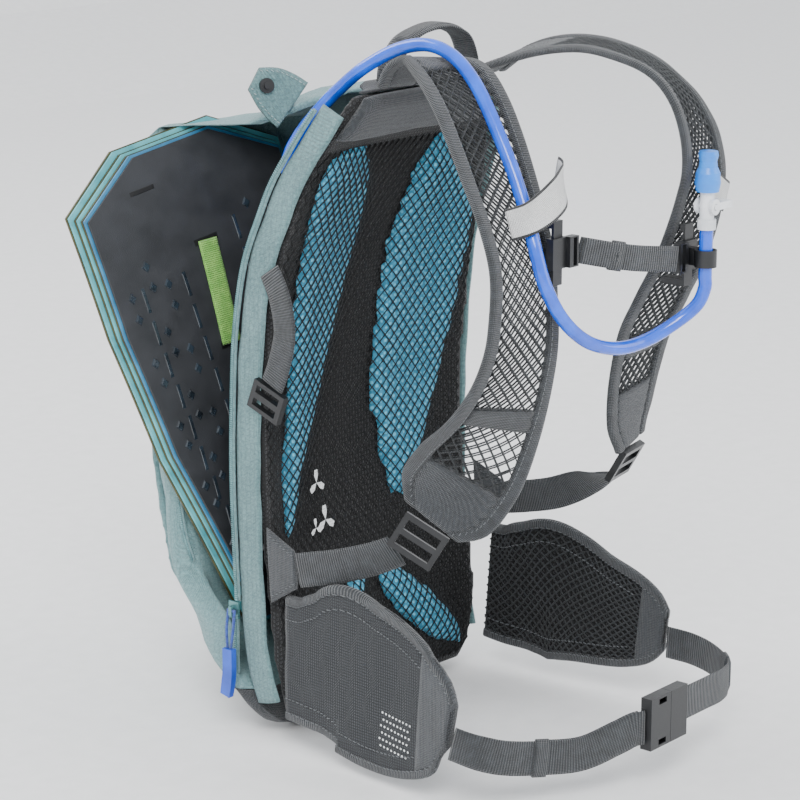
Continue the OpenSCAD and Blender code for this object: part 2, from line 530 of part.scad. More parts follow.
STRAP_R = [
    st(48, -94, 483, [1, 0, 0], 50, strap_t), st(48, -122, 497, [0.97, 0.2, 0.1], 56, strap_t),
    st(49, -155, 506, [0.92, 0.38, 0.05], 60, strap_t), st(51, -188, 508, [0.88, 0.47, 0], 62, strap_t),
    st(54, -216, 503, [0.88, 0.47, 0], 64, strap_t), st(58, -239, 493, [0.9, 0.42, -0.04], 65, strap_t),
    st(63, -254, 477, [0.94, 0.32, -0.08], 65, strap_t), st(70, -262, 454, [0.96, 0.22, -0.13], 65, strap_t),
    st(77, -263, 430, [0.97, 0.16, -0.17], strap_w - 6, strap_t),
    st(81, -259, 406, [0.97, 0.1, -0.2], strap_w - 6, strap_t), st(82, -252, 381, [0.97, 0.06, -0.2], strap_w - 6, strap_t),
    st(82, -242, 355, [0.97, 0.04, -0.2], strap_w - 6, strap_t), st(84, -227, 328, [0.97, 0.04, -0.2], strap_w - 6, strap_t),
    st(88, -211, 299, [0.97, 0.05, -0.2], strap_w - 6, strap_t), st(93, -199, 263, [0.97, 0.08, -0.2], strap_w - 7, strap_t),
    st(98, -192, 231, [0.97, 0.12, -0.15], strap_w - 11, strap_t), st(101, -191, 212, [0.97, 0.2, 0], 48, strap_t)];
module shoulder_strap_left() { color(CHARCOAL) strip(STRAP_L, soft = true); }
module shoulder_strap_right() { color(CHARCOAL) strip(STRAP_R, soft = true); }

STERNUM_Z = 368;        // height of the right slider
STERNUM_RISE = 15;      // how much higher the left one sits
// Rails: an upright bar on two feet in front of each strap, which the sternum sliders run on
RAIL_L = [-56 * kx, -228 * ky - strap_t / 2 - 4.2, STERNUM_Z * kz + STERNUM_RISE];
RAIL_R = [60 * kx, -251.5 * ky - strap_t / 2 - 8, STERNUM_Z * kz];
rail_h = 44;
rail_w = 10;
rail_t = 2;
foot_h = 5;
module rail(p, foot_y) {
    translate(p) {
        block([rail_w, rail_t, rail_h]);
        for (end = [[-1, foot_y[0]], [1, foot_y[1]]])
            block([rail_w, end[1], foot_h], [0, end[1] / 2, end[0] * (rail_h - foot_h) / 2]);
    }
}
module strap_rail_left() { color(BLACK) rail(RAIL_L, [3.9, 13.4]); }
module strap_rail_right() { color(BLACK) rail(RAIL_R, [17.6, 3.2]); }
slide_clear = 0.4;
slider_h = sternum_w + 3;
module rail_slider(p) {
    w = rail_w + 2 * slide_clear;
    t = rail_t + 2 * slide_clear;
    translate(p) difference() {
        block([w + 5, t + 3, slider_h]);
        block([w, t, slider_h + 2]);
    }
}
module sternum_slider_left() {
    p = [RAIL_L[0], RAIL_L[1], STERNUM_Z * kz + STERNUM_RISE];
    color(BLACK) {
        rail_slider(p);
        translate(p) difference() {
            block([10, 6, slider_h], [12, -3, 0]);
            block([4, 20, sternum_w + 1], [13, 0, 0]);
        }
    }
}
RING = [VALVE[0], VALVE[1], STERNUM_Z * kz];
module sternum_slider_right() {
    p = [RAIL_R[0], RAIL_R[1], STERNUM_Z * kz];
    reach = RAIL_R[1] - 2.35 - RING[1] - hose_d / 2 - 0.8;
    color(BLACK) difference() {
        union() {
            rail_slider(p);
            translate(p) difference() {
                block([10, 6, slider_h], [-12, -3, 0]);
                block([4, 20, sternum_w + 1], [-13, 0, 0]);
            }
            translate(RING) cylinder(d = hose_d + 6, h = 12, center = true, $fn = 32);
            translate(p) block([7, reach, 12], [-1.5, -2.35 - reach / 2, 0]);
        }
        translate(RING) cylinder(d = hose_d + 1.6, h = 20, center = true, $fn = 32);
    }
}
module sternum_strap() {
    a = [RAIL_L[0] + 19.2, RAIL_L[1] - 4, STERNUM_Z * kz + STERNUM_RISE];
    b = [RAIL_R[0] - 18.6, RAIL_R[1] - 4, STERNUM_Z * kz];
    m = (a + b) / 2;
    color(CHARCOAL) strip([concat(a, [0, 0, 1], [sternum_w, web_t]), concat(m + [0, -3, -2], [0, 0, 1], [sternum_w, web_t]),
        concat(b, [0, 0, 1], [sternum_w, web_t])], n = 5);
}
// Loops: short bands across the straps; the left one holds the hose down
module strap_loop_left() {
    color(WHITE) strip([concat([-84, -215.8 - strap_t / 2, 409], [0.2, 0.3, 1], [22, 1.2]),
        concat([-78, -232, 410], [0.2, 0.3, 1], [22, 1.2]), concat([-69, -235, 416], [0.2, 0.3, 1], [22, 1.2]),
        concat([-59, -226, 424], [0.2, 0.3, 1], [22, 1.2]), concat([-42, -214, 434], [0.2, 0.3, 1], [22, 1.2])], n = 3);
}
module strap_loop_right() {
    color(WHITE) strip([for (q = [[68, -265.4, 421], [88, -261.5, 412], [109, -257, 402]])
        concat(scaled(q) - [0, strap_t / 2 + 1.3, 0], [0.2, 0, 1], [22, 1.2])], n = 3);
}

// ---------------------------------------------------------------- ladder locks and lower webbing
LOCK_L = [-99.8 * kx, -153.7 * ky, 175.5 * kz];
LOCK_L_A = [0.37, -0.78, -0.5];
LOCK_L_D = [-0.42, 0.42, -0.8];
LOCK_R = [102 * kx, -186 * ky, 196 * kz];
LOCK_R_A = [0.97, 0.2, 0];
LOCK_R_D = [0.05, 0.5, -0.86];
lock_l = 27;
lock_t = 5;
lock_rim = 4;
module ladder_lock(p, a, d) {
    w = web_w + 2 * lock_rim + 2;
    slot = [web_w + 2, (lock_l - 3 * lock_rim) / 2, lock_t * 3];
    color(BLACK) placed(p, a, d) difference() {
        block([w, lock_l, lock_t]);
        for (side = [-1, 1]) block(slot, [0, side * (slot[1] + lock_rim) / 2, 0]);
    }
}
module ladder_lock_left() { ladder_lock(LOCK_L, LOCK_L_A, LOCK_L_D); }
module ladder_lock_right() { ladder_lock(LOCK_R, LOCK_R_A, LOCK_R_D); }
LOWER_L = [st(-103, -137, 166, [0.5, -0.55, -0.7], web_w, web_t), st(-108, -118, 157, [0.3, -0.35, -0.9], web_w, web_t),
    st(-114, -95, 149, [0.12, -0.25, -1], web_w, web_t), st(-119, -72, 143, [0, -0.2, -1], web_w, web_t),
    st(-121, -60.2, 140, [0, -0.2, -1], web_w, web_t)];
LOWER_R = [st(104, -170, 184, [0.9, 0.3, -0.4], web_w, web_t), st(108, -148, 172, [0.5, 0.35, -0.8], web_w, web_t),
    st(113, -115, 156, [0.1, 0.3, -1], web_w, web_t), st(119, -80, 145, [0, 0.2, -1], web_w, web_t),
    st(121, -60.2, 140, [0, 0.2, -1], web_w, web_t)];
module lower_webbing_left() { color(CHARCOAL) strip(LOWER_L); }
module lower_webbing_right() { color(CHARCOAL) strip(LOWER_R, n = 4); }
TAB = [st(-120.6, -58, 140, [0, -0.2, -1], web_w + 3, 3), st(-120.4, -46, 139, [0, -0.1, -1], 41, 3),
    st(-120, -32, 138, [0, 0, -1], 56, 2)];
module corner_tab_left() { color(CHARCOAL) strip(TAB, n = 2); }
module corner_tab_right() { color(CHARCOAL) strip(flip(mirrored(TAB)), n = 2); }

// ---------------------------------------------------------------- compression strap on the open side
COMP = [st(-119, -34, 354, [0, 1, 0], 18, web_t), st(-121.5, -46, 336, [0, 1, -0.3], 20, web_t),
    st(-123.5, -52, 312, [0, 1, -0.1], 20, web_t), st(-124.5, -47, 288, [0, 1, 0.2], 20, web_t),
    st(-124.5, -40.6, 273, [0, 1, 0.35], 20, web_t)];
module compression_strap_left() { color(CHARCOAL) strip(COMP, n = 3); }
module compression_buckle_left() {
    color(BLACK) placed(scaled([-124.5, -36.2, 261.2]), [0, 1, 0.38], [0, -0.38, 1]) difference() {
        block([30, 22, 5]);
        for (side = [-1, 1]) block([22, 5.5, 12], [0, side * 5, 0]);
    }
}

// ---------------------------------------------------------------- handle
HANDLE_Y = -73;
HANDLE = [for (v = [[-34, 2, 0], [-32, 1, 14], [-19, -2, 31], [8, -6, 38], [32, -8, 31], [44, -7, 14], [46, -6, 0]])
    concat([v[0] * kx, HANDLE_Y * ky + v[1], COVER_TOP + GAP + 0.3 + v[2]], [0, 1, 0], [20, 2.6])];
module carry_handle() { color(BLACK) strip(HANDLE); }

// ---------------------------------------------------------------- hip belt
WING = [[-48, -118, 71, 0.78], [-66, -119, 71, 0.8], [-84, -120.5, 73.5, 0.88], [-104, -122, 75.5, 1.04],
    [-128, -123.5, 70.5, 1.03], [-157, -125, 66, 0.96], [-181, -127, 63.5, 0.81], [-197, -128, 63, 0.58],
    [-208, -129, 61, 0.28]];
WING_FAR = [[-48, -118, 71, 0.78], [-66, -119, 70, 0.8], [-84, -120.5, 72, 0.86], [-104, -122, 73.5, 0.93],
    [-124, -123.5, 71.5, 0.88], [-150, -125.5, 67, 0.76], [-178, -127.5, 64, 0.64], [-198, -129, 62, 0.48],
    [-208, -129.5, 61, 0.28]];
function wing(rows) = [for (v = rows) st(v[1], v[0], v[2], [0, 0, 1], wing_h * v[3], wing_t)];
module hip_wing_left() { color(CHARCOAL) strip(wing(WING), soft = true); }
module hip_wing_right() { color(CHARCOAL) strip(flip(mirrored(wing(WING_FAR))), soft = true); }
BUCKLE = [8, -290, 49];
BELT_IN = 3.2;          // how far behind the buckle's middle the right webbing runs
BELT_L = [st(-130, -208.8, 49, [0, 0, 1], belt_w, web_t), st(-124, -224, 45, [0, 0, 1], belt_w, web_t),
    st(-108, -237, 39, [0, 0, 1], belt_w, web_t), st(-84, -250, 35, [0, 0, 1], belt_w, web_t),
    st(-58, -266, 34, [0, 0, 1], belt_w, web_t), st(-36, -279.5, 42, [0, 0, 1], belt_w, web_t),
    st(-24, -286, 46.6, [0, 0, 1], belt_w, web_t), st(-16.2, -289.6, 47, [0, 0, 1], belt_w, web_t)];
belt_y = BUCKLE[1] + BELT_IN / ky;
BELT_R = [st(12, belt_y, 49, [0, 0, 1], belt_w, web_t), st(40, belt_y, 49, [0, 0, 1], belt_w, web_t),
    st(66, belt_y, 49, [0, 0, 1], belt_w, web_t), st(90, belt_y + 2, 48, [0, 0, 1], belt_w, web_t),
    st(112, belt_y + 12, 47, [0, 0, 1], belt_w, web_t), st(127, -252, 49, [0, 0, 1], belt_w, web_t),
    st(132, -230, 51, [0, 0, 1], belt_w, web_t), st(130.4, -208.7, 52, [0, 0, 1], belt_w, web_t)];
module belt_webbing_left() { color(CHARCOAL) strip(BELT_L); }
module belt_webbing_right() { color(CHARCOAL) strip(BELT_R); }
socket_l = 24;
buckle_h = 38;
buckle_t = 9;
module buckle_socket() {
    color(BLACK) translate(scaled(BUCKLE) - [socket_l / 2 - 1, 0, 0]) difference() {
        block([socket_l, buckle_t, buckle_h]);
        block([socket_l - 3, buckle_t - 3.6, buckle_h - 8], [3, 0, 0]);
        for (side = [-1, 1]) block([9, buckle_t + 2, 4], [2, 0, side * (buckle_h / 2 - 4)]);
    }
}
module buckle_plug() {
    x = 1 + GAP;
    color(BLACK) translate(scaled(BUCKLE)) {
        difference() {
            block([20, buckle_t, buckle_h], [x + 10, 0, 0]);
            block([22, buckle_t, belt_w + 1.4], [x + 10, BELT_IN - 1.2 + buckle_t / 2, 0]);
        }
        for (end = [3, 17]) block([4, 1.2, buckle_h - 4], [x + end, buckle_t / 2 + 0.5, 0]);
        for (side = [-1, 1]) block([15, 3.4, 5], [x - 7.4, 0, side * 9]);
        block([14, 3.4, 6], [x - 6.9, 0, 0]);
    }
}

main_bag();
base_boot();
back_panel();
pad_upper_left();
pad_upper_right();
pad_lower_left();
pad_lower_right();
back_net();
yoke_pad();
top_cover();
side_strip_left();
side_strip_right();
front_pocket();
pocket_zip();
pocket_zip_slider();
top_flap();
flap_snap();
zip_chain_strip();
zip_chain_bag();
zip_chain_closed();
zip_slider();
zip_pull_cord();
zip_pull_grip();
protector_rear();
protector_middle();
protector_face();
protector_loop();
reservoir();
reservoir_cap();
quick_link();
hose_inner();
hose_port();
drinking_hose();
valve_body();
shutoff_lever();
bite_valve();
shoulder_strap_left();
shoulder_strap_right();
strap_rail_left();
strap_rail_right();
strap_loop_left();
strap_loop_right();
sternum_strap();
sternum_slider_left();
sternum_slider_right();
ladder_lock_left();
ladder_lock_right();
lower_webbing_left();
lower_webbing_right();
corner_tab_left();
corner_tab_right();
compression_strap_left();
compression_buckle_left();
carry_handle();
hip_wing_left();
hip_wing_right();
belt_webbing_left();
belt_webbing_right();
buckle_socket();
buckle_plug();
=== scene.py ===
"""Looks of a small hydration pack, in metres, in the same frame as its CAD model."""

import math

import bpy
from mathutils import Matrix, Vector, noise
from mathutils.bvhtree import BVHTree


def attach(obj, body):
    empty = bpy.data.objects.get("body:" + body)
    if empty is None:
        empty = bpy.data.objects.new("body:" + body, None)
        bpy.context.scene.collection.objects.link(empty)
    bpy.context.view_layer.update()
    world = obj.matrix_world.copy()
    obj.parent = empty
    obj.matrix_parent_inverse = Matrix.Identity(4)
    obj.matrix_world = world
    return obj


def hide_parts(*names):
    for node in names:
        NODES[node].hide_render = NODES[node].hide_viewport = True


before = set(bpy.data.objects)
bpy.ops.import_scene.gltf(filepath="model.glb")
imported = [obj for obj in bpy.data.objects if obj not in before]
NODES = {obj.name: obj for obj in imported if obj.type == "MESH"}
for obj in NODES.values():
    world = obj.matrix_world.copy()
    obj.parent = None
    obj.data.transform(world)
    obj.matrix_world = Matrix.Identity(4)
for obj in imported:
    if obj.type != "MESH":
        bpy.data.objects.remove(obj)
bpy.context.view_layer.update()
MM = 0.001


# ---------------------------------------------------------------- camera
def camera():
    """Looks at the pack from the wearer's left and a little above."""
    azimuth = math.radians(-50)
    height = math.radians(14)
    look = Vector((0, -0.04, 0.25))
    back = Vector((
        math.sin(azimuth) * math.cos(height),
        -math.cos(azimuth) * math.cos(height),
        math.sin(height),
    ))
    data = bpy.data.cameras.new("camera")
    data.sensor_width = 36
    data.lens = 121.5
    data.shift_x = 0.01875
    data.shift_y = -0.01875
    data.clip_end = 50
    item = bpy.data.objects.new("camera", data)
    item.location = look + 2.0 * back
    item.rotation_euler = back.to_track_quat("Z", "Y").to_euler()
    bpy.context.scene.collection.objects.link(item)
    bpy.context.scene.camera = item


camera()


# ---------------------------------------------------------------- materials
def srgb(code):
    """Linear colour of a six-digit hex code."""
    parts = [int(code[i:i + 2], 16) / 255 for i in (0, 2, 4)]
    line = [v / 12.92 if v <= 0.04045 else ((v + 0.055) / 1.055) ** 2.4 for v in parts]
    return (*line, 1)


class Paint:
    """A material and short names for the nodes that this script builds it from."""

    def __init__(self, name, rough=0.7, metal=0.0, sheen=0.0, coat=0.0):
        self.material = bpy.data.materials.new(name)
        self.material.use_nodes = True
        self.tree = self.material.node_tree
        self.bsdf = self.tree.nodes["Principled BSDF"]
        self.bsdf.inputs["Roughness"].default_value = rough
        self.bsdf.inputs["Metallic"].default_value = metal
        self.bsdf.inputs["Sheen Weight"].default_value = sheen
        self.bsdf.inputs["Coat Weight"].default_value = coat
        place = self.tree.nodes.new("ShaderNodeTexCoord")
        self.place = place.outputs["Object"]
        self.uv = place.outputs["UV"]
        self.facing = place.outputs["Normal"]

    def feed(self, socket, value):
        if isinstance(value, bpy.types.NodeSocket):
            self.tree.links.new(value, socket)
        else:
            socket.default_value = value

    def math(self, operation, a, b=0.0):
        item = self.tree.nodes.new("ShaderNodeMath")
        item.operation = operation
        self.feed(item.inputs[0], a)
        self.feed(item.inputs[1], b)
        return item.outputs[0]

    def split(self, vector):
        item = self.tree.nodes.new("ShaderNodeSeparateXYZ")
        self.feed(item.inputs[0], vector)
        return [item.outputs[i] for i in range(3)]

    def noise(self, scale, detail=3.0, stretch=None):
        item = self.tree.nodes.new("ShaderNodeTexNoise")
        item.inputs["Scale"].default_value = scale
        item.inputs["Detail"].default_value = detail
        vector = self.place
        if stretch:
            shape = self.tree.nodes.new("ShaderNodeMapping")
            shape.inputs["Scale"].default_value = stretch
            self.feed(shape.inputs["Vector"], vector)
            vector = shape.outputs[0]
        self.feed(item.inputs["Vector"], vector)
        return item.outputs[0]

    def mix(self, share, a, b):
        item = self.tree.nodes.new("ShaderNodeMix")
        item.data_type = "RGBA"
        self.feed(item.inputs[0], share)
        self.feed(item.inputs[6], a)
        self.feed(item.inputs[7], b)
        return item.outputs[2]

    def spread(self, value, low, high):
        """Stretches values between low and high to 0 and 1."""
        item = self.tree.nodes.new("ShaderNodeMapRange")
        self.feed(item.inputs["Value"], value)
        item.inputs["From Min"].default_value = low
        item.inputs["From Max"].default_value = high
        return item.outputs[0]

    def wave(self, value, pitch):
        return self.math("SINE", self.math("MULTIPLY", value, 2 * math.pi / pitch))

    def weave(self, pitch):
        """Over-and-under pattern, the same on faces that look any way."""
        x, y, z = [self.wave(value, pitch) for value in self.split(self.place)]
        flat = self.math("ADD", self.math("MULTIPLY", x, z), self.math("MULTIPLY", y, z))
        return self.math("ADD", flat, self.math("MULTIPLY", x, y))

    def grid(self, pitch, share):
        """1 on the thick threads of a square grid, 0 between them."""
        total = 0.0
        for value, way in zip(self.split(self.place), self.split(self.facing)):
            line = self.math("FRACT", self.math("MULTIPLY", value, 1 / pitch))
            line = self.math("LESS_THAN", line, share)
            seen = self.math("LESS_THAN", self.math("ABSOLUTE", way), 0.72)
            total = self.math("MAXIMUM", total, self.math("MULTIPLY", line, seen))
        return total

    def bump(self, height, distance, strength=1.0):
        item = self.tree.nodes.new("ShaderNodeBump")
        item.inputs["Distance"].default_value = distance
        item.inputs["Strength"].default_value = strength
        self.feed(item.inputs["Height"], height)
        self.feed(self.bsdf.inputs["Normal"], item.outputs[0])

    def colour(self, value):
        self.feed(self.bsdf.inputs["Base Color"], value)

    def rough(self, value):
        self.feed(self.bsdf.inputs["Roughness"], value)


def cloth(name, light, dark, pitch=0.0011, bump=0.0002, grid=0.0, sheen=0.3, rough=0.8):
    """Woven cloth with two thread colours, uneven dye and, where it has one, a ripstop grid."""
    paint = Paint(name, rough=rough, sheen=sheen)
    weave = paint.weave(pitch)
    fleck = paint.spread(paint.noise(520, 4), 0.35, 0.65)
    patch = paint.spread(paint.noise(26, 3), 0.3, 0.7)
    share = paint.math("ADD", paint.math("MULTIPLY", fleck, 0.6), paint.math("MULTIPLY", patch, 0.4))
    colour = paint.mix(share, srgb(dark), srgb(light))
    height = weave
    if grid:
        lines = paint.grid(grid, 0.16)
        colour = paint.mix(paint.math("MULTIPLY", lines, 0.35), colour, srgb(dark))
        height = paint.math("ADD", weave, paint.math("MULTIPLY", lines, 2.5))
    paint.colour(colour)
    paint.bump(height, bump)
    return paint.material


def knit(name, light, dark, pitch, bump=0.0006, rough=0.85):
    """Knitted mesh whose dimples are painted dark, as painted shade in its hollows."""
    paint = Paint(name, rough=rough, sheen=0.15)
    holes = paint.spread(paint.weave(pitch), -0.2, 0.9)
    # painted shade: the dimples take the dark colour, as shade falls in them
    paint.colour(paint.mix(holes, srgb(dark), srgb(light)))
    paint.bump(holes, bump)
    return paint.material


def grosgrain(name, light, dark, pitch=0.0016, edge=None):
    """Webbing with ribs across it and uneven wear; its map holds metres across and along."""
    paint = Paint(name, rough=0.72, sheen=0.25)
    across, along, _ = paint.split(paint.uv)
    rib = paint.wave(along, pitch)
    thread = paint.wave(across, 0.0012)
    wear = paint.spread(paint.noise(160, 4), 0.35, 0.7)
    share = paint.math("ADD", paint.math("MULTIPLY", wear, 0.6), paint.math("MULTIPLY", rib, 0.25))
    colour = paint.mix(share, srgb(dark), srgb(light))
    if edge:
        side = paint.math("GREATER_THAN", paint.math("ABSOLUTE", across), edge[0])
        colour = paint.mix(side, colour, srgb(edge[1]))
    paint.colour(colour)
    paint.bump(paint.math("ADD", rib, paint.math("MULTIPLY", thread, 0.4)), 0.00035)
    return paint.material


def moulded(name, light, dark, rough=0.4, coat=0.1, grain=0.00008, metal=0.0):
    """Moulded plastic, rubber or metal: fine grain and slightly uneven gloss."""
    paint = Paint(name, rough=rough, coat=coat, metal=metal)
    cloud = paint.spread(paint.noise(60, 4), 0.3, 0.7)
    paint.colour(paint.mix(cloud, srgb(dark), srgb(light)))
    paint.rough(paint.math("ADD", paint.math("MULTIPLY", cloud, 0.12), rough - 0.06))
    paint.bump(paint.noise(1900, 2), grain)
    return paint.material


STRIP_TEAL = cloth("strip_teal", "7fa8aa", "4d7478", grid=0.0046, bump=0.00022)
BAG_TEAL = cloth("bag_teal", "8db4b6", "628d91", grid=0.0052, bump=0.0002)
# the flap's lining: the outside teal darkened as painted shade for the flap's underside
SHADED_LINING = cloth("flap_under", "3f5f5c", "2b4543", pitch=0.0014)
CHARCOAL = cloth("charcoal_cloth", "3a3f44", "1f2226", pitch=0.0013, bump=0.00025)
BOOT = cloth("boot_cloth", "33383c", "1a1d20", grid=0.006, bump=0.00025)
# panel_mesh, wing_mesh and aqua_foam all carry painted shade in their dimples
PANEL_MESH = knit("panel_mesh", "202225", "070708", 0.0032)
WING_MESH = knit("wing_mesh", "34393e", "16181b", 0.0021, bump=0.0004)
FOAM = knit("aqua_foam", "62bad8", "3486a6", 0.0050, bump=0.0005)
NET = cloth("net_cord", "1b1d20", "08090a", pitch=0.0008, sheen=0.05)
STRAP_NET = cloth("strap_net", "34393d", "17191b", pitch=0.0009, sheen=0.15)
BINDING = grosgrain("binding", "3f4449", "24272a", pitch=0.0013)
WEBBING = grosgrain("webbing", "3d4247", "202326", pitch=0.0019)
GREEN_WEB = grosgrain("green_webbing", "a6e06c", "6fb446", pitch=0.0015)
WHITE_BAND = grosgrain("white_band", "f6f6f4", "dfe0e0", pitch=0.0011, edge=(0.0093, "1d1f22"))
THREAD = cloth("thread", "6d7378", "4a4f54", pitch=0.0006, sheen=0.4)
TEAL_THREAD = cloth("teal_thread", "cfe2e2", "9dbcbe", pitch=0.0006, sheen=0.4)
PLASTIC = moulded("black_plastic", "1d1e20", "101113", rough=0.38)
FACE = moulded("protector_face", "2e3034", "25272a", rough=0.5, coat=0.05, grain=0.0002)
GLOSS = moulded("protector_gloss", "2e3a44", "151a1f", rough=0.12, coat=0.8)
# near-black painted shade that stands in for the open slots in the protector
SLOT_SHADE = moulded("protector_slit", "0c0d0e", "050506", rough=0.5)
RIM_OLIVE = moulded("rim_olive", "4c4a22", "343218", rough=0.5)
RIM_DARK = moulded("rim_dark", "2b3336", "1b2022", rough=0.5)
RIM_BLUE = moulded("rim_blue", "3b84ac", "27658a", rough=0.45)
RIM_AQUA = moulded("rim_aqua", "62b4bc", "3e8e98", rough=0.45)
ZIP = moulded("zip_coil", "7da9ac", "567f83", rough=0.45)
ZIP_METAL = moulded("zip_metal", "6d9a9c", "47706f", rough=0.3, metal=0.7)
CORD = cloth("zip_cord", "3561c8", "17307e", pitch=0.0009)
GRIP = moulded("zip_grip", "2a5bd7", "1b43ae", rough=0.35, coat=0.3)
HOSE_BLUE = moulded("hose_blue", "0060f0", "0048c8", rough=0.16, coat=0.7, grain=0.00002)
LINK_BLUE = moulded("link_blue", "2b7fd6", "1a62b4", rough=0.3, coat=0.3)
FILM = moulded("reservoir_film", "b8d8ee", "93bfdf", rough=0.25, coat=0.4)
VALVE_WHITE = moulded("valve_white", "eef0f2", "c9cdd2", rough=0.32, coat=0.3)
BITE = moulded("bite_silicone", "2f94f4", "1878e0", rough=0.35, coat=0.2)
HOLE_WHITE = cloth("hole_white", "f2f3f3", "c8cccc", pitch=0.002)


# ---------------------------------------------------------------- geometry helpers
def spline(rows, steps):
    """Smooth rows of numbers of any length, steps to each stretch."""
    last = len(rows) - 1
    result = []
    for i in range(last):
        around = rows[max(i - 1, 0)], rows[i], rows[i + 1], rows[min(i + 2, last)]
        for k in range(steps):
            t = k / steps
            result.append([
                0.5 * (2 * b + (c - a) * t + (2 * a - 5 * b + 4 * c - d) * t * t + (3 * b - a - 3 * c + d) * t ** 3)
                for a, b, c, d in zip(*around)
            ])
    result.append([float(value) for value in rows[last]])
    return result


def lookup(value, table):
    """Straight lines between the rows of a table of pairs."""
    if value <= table[0][0]:
        return table[0][1]
    for (a, p), (b, q) in zip(table, table[1:]):
        if value <= b:
            return p + (q - p) * (value - a) / (b - a)
    return table[-1][1]


def even(low, high, count):
    return [low + (high - low) * i / count for i in range(count + 1)]


def add(name, points, faces, body, material, stands_for=(), across_along=None):
    """New piece of mesh that rides on a body."""
    mesh = bpy.data.meshes.new(name)
    mesh.from_pydata([tuple(point) for point in points], [], faces)
    mesh.polygons.foreach_set("use_smooth", [True] * len(mesh.polygons))
    if across_along:
        layer = mesh.uv_layers.new(name="metres")
        for loop in mesh.loops:
            layer.data[loop.index].uv = across_along[loop.vertex_index]
    mesh.materials.append(material)
    item = bpy.data.objects.new(name, mesh)
    bpy.context.scene.collection.objects.link(item)
    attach(item, body)
    if stands_for:
        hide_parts(*stands_for)
    return item


def loft(rings, closed_ends=True):
    """Points and faces of a skin through rings of equal length."""
    count = len(rings[0])
    points = [point for ring in rings for point in ring]
    faces = []
    for i in range(len(rings) - 1):
        for j in range(count):
            a = i * count + j
            b = i * count + (j + 1) % count
            faces.append((a, b, b + count, a + count))
    if closed_ends:
        faces.append(tuple(range(count - 1, -1, -1)))
        faces.append(tuple(range(len(points) - count, len(points))))
    return points, faces


def rumple(points, size, depth, seed=0.0):
    """Pushes points to and fro by smooth noise."""
    moved = []
    for point in points:
        way = noise.noise_vector(point / size + Vector((seed, seed, seed)))
        moved.append(point + way * depth)
    return moved


class Track:
    """Run of a strip: its middle line, the way across it and the way out of it."""

    def __init__(self, stations, steps=8):
        rows = spline(stations, steps)
        last = len(rows) - 1
        self.points = [Vector(row[:3]) * MM for row in rows]
        self.half = [row[6] * MM / 2 for row in rows]
        self.thick = [row[7] * MM / 2 for row in rows]
        self.across = []
        self.out = []
        self.reach = [0.0]
        for i, row in enumerate(rows):
            along = (self.points[min(i + 1, last)] - self.points[max(i - 1, 0)]).normalized()
            side = Vector(row[3:6])
            side = (side - along * side.dot(along)).normalized()
            self.across.append(side)
            self.out.append(along.cross(side))
            if i:
                self.reach.append(self.reach[-1] + (self.points[i] - self.points[i - 1]).length)
        self.length = self.reach[-1]

    def at(self, run):
        """Middle point, across, out, half width and half thickness at a distance along."""
        run = min(max(run, 0), self.length)
        i = 1
        while i < len(self.reach) - 1 and self.reach[i] < run:
            i += 1
        gap = max(self.reach[i] - self.reach[i - 1], 1e-9)
        t = (run - self.reach[i - 1]) / gap
        lists = self.points, self.across, self.out, self.half, self.thick
        return [values[i - 1] * (1 - t) + values[i] * t for values in lists]

    def spot(self, side, run, lift):
        """Point at a distance across the strip, along it and out of it."""
        middle, across, out, _, _ = self.at(run)
        return middle + across * side + out * lift


FULL = ((-1, 0), (1, 0))


def ribbon(name, track, body, material, span=FULL, thick=None, lift=0.0, start=0.0, end=1.0, power=6, edge=0.4,
           count=8, step=0.004, stands_for=(), wrinkle=0.0):
    """Strip or pad along a track. span gives each side as a share of the half width plus metres."""
    run = track.length * (end - start)
    total = max(2, round(run / step))
    rings = []
    marks = []
    for i in range(total + 1):
        along = track.length * start + run * i / total
        _, _, _, half, own = track.at(along)
        body_half = own if thick is None else thick
        low, high = [share * half + more for share, more in span]
        ring = []
        for turn in (1, -1):
            for k in range(count + 1) if turn > 0 else range(count, -1, -1):
                share = 2 * k / count - 1
                rise = body_half * (edge + (1 - edge) * math.sqrt(max(0.0, 1 - abs(share) ** power)))
                side = (low + high) / 2 + (high - low) / 2 * share
                ring.append(track.spot(side, along, lift + turn * rise))
                marks.append((side, along))
        rings.append(ring)
    points, faces = loft(rings)
    if wrinkle:
        points = rumple(points, 0.022, wrinkle, len(name))
    return add(name, points, faces, body, material, stands_for, marks)


def bars(name, track, body, material, side=(0, 0), lift=0.0, pitch=0.0034, size=(0.0006, 0.0022, 0.0004), start=0.0,
         end=1.0):
    """Row of small blocks along a track: stitches or zip teeth. size is across, along and out."""
    points = []
    faces = []
    total = int(track.length * (end - start) / pitch)
    for i in range(total):
        run = track.length * start + (i + 0.5) * pitch
        _, _, _, half, _ = track.at(run)
        middle = side[0] * half + side[1]
        base = len(points)
        for a, b, c in ((-1, -1, -1), (1, -1, -1), (1, 1, -1), (-1, 1, -1), (-1, -1, 1), (1, -1, 1), (1, 1, 1),
                        (-1, 1, 1)):
            points.append(track.spot(
                middle + a * size[0] / 2, run + b * size[1] / 2, lift + c * size[2] / 2))
        for face in ((3, 2, 1, 0), (4, 5, 6, 7), (0, 1, 5, 4), (1, 2, 6, 5), (2, 3, 7, 6), (3, 0, 4, 7)):
            faces.append(tuple(base + k for k in face))
    return add(name, points, faces, body, material)


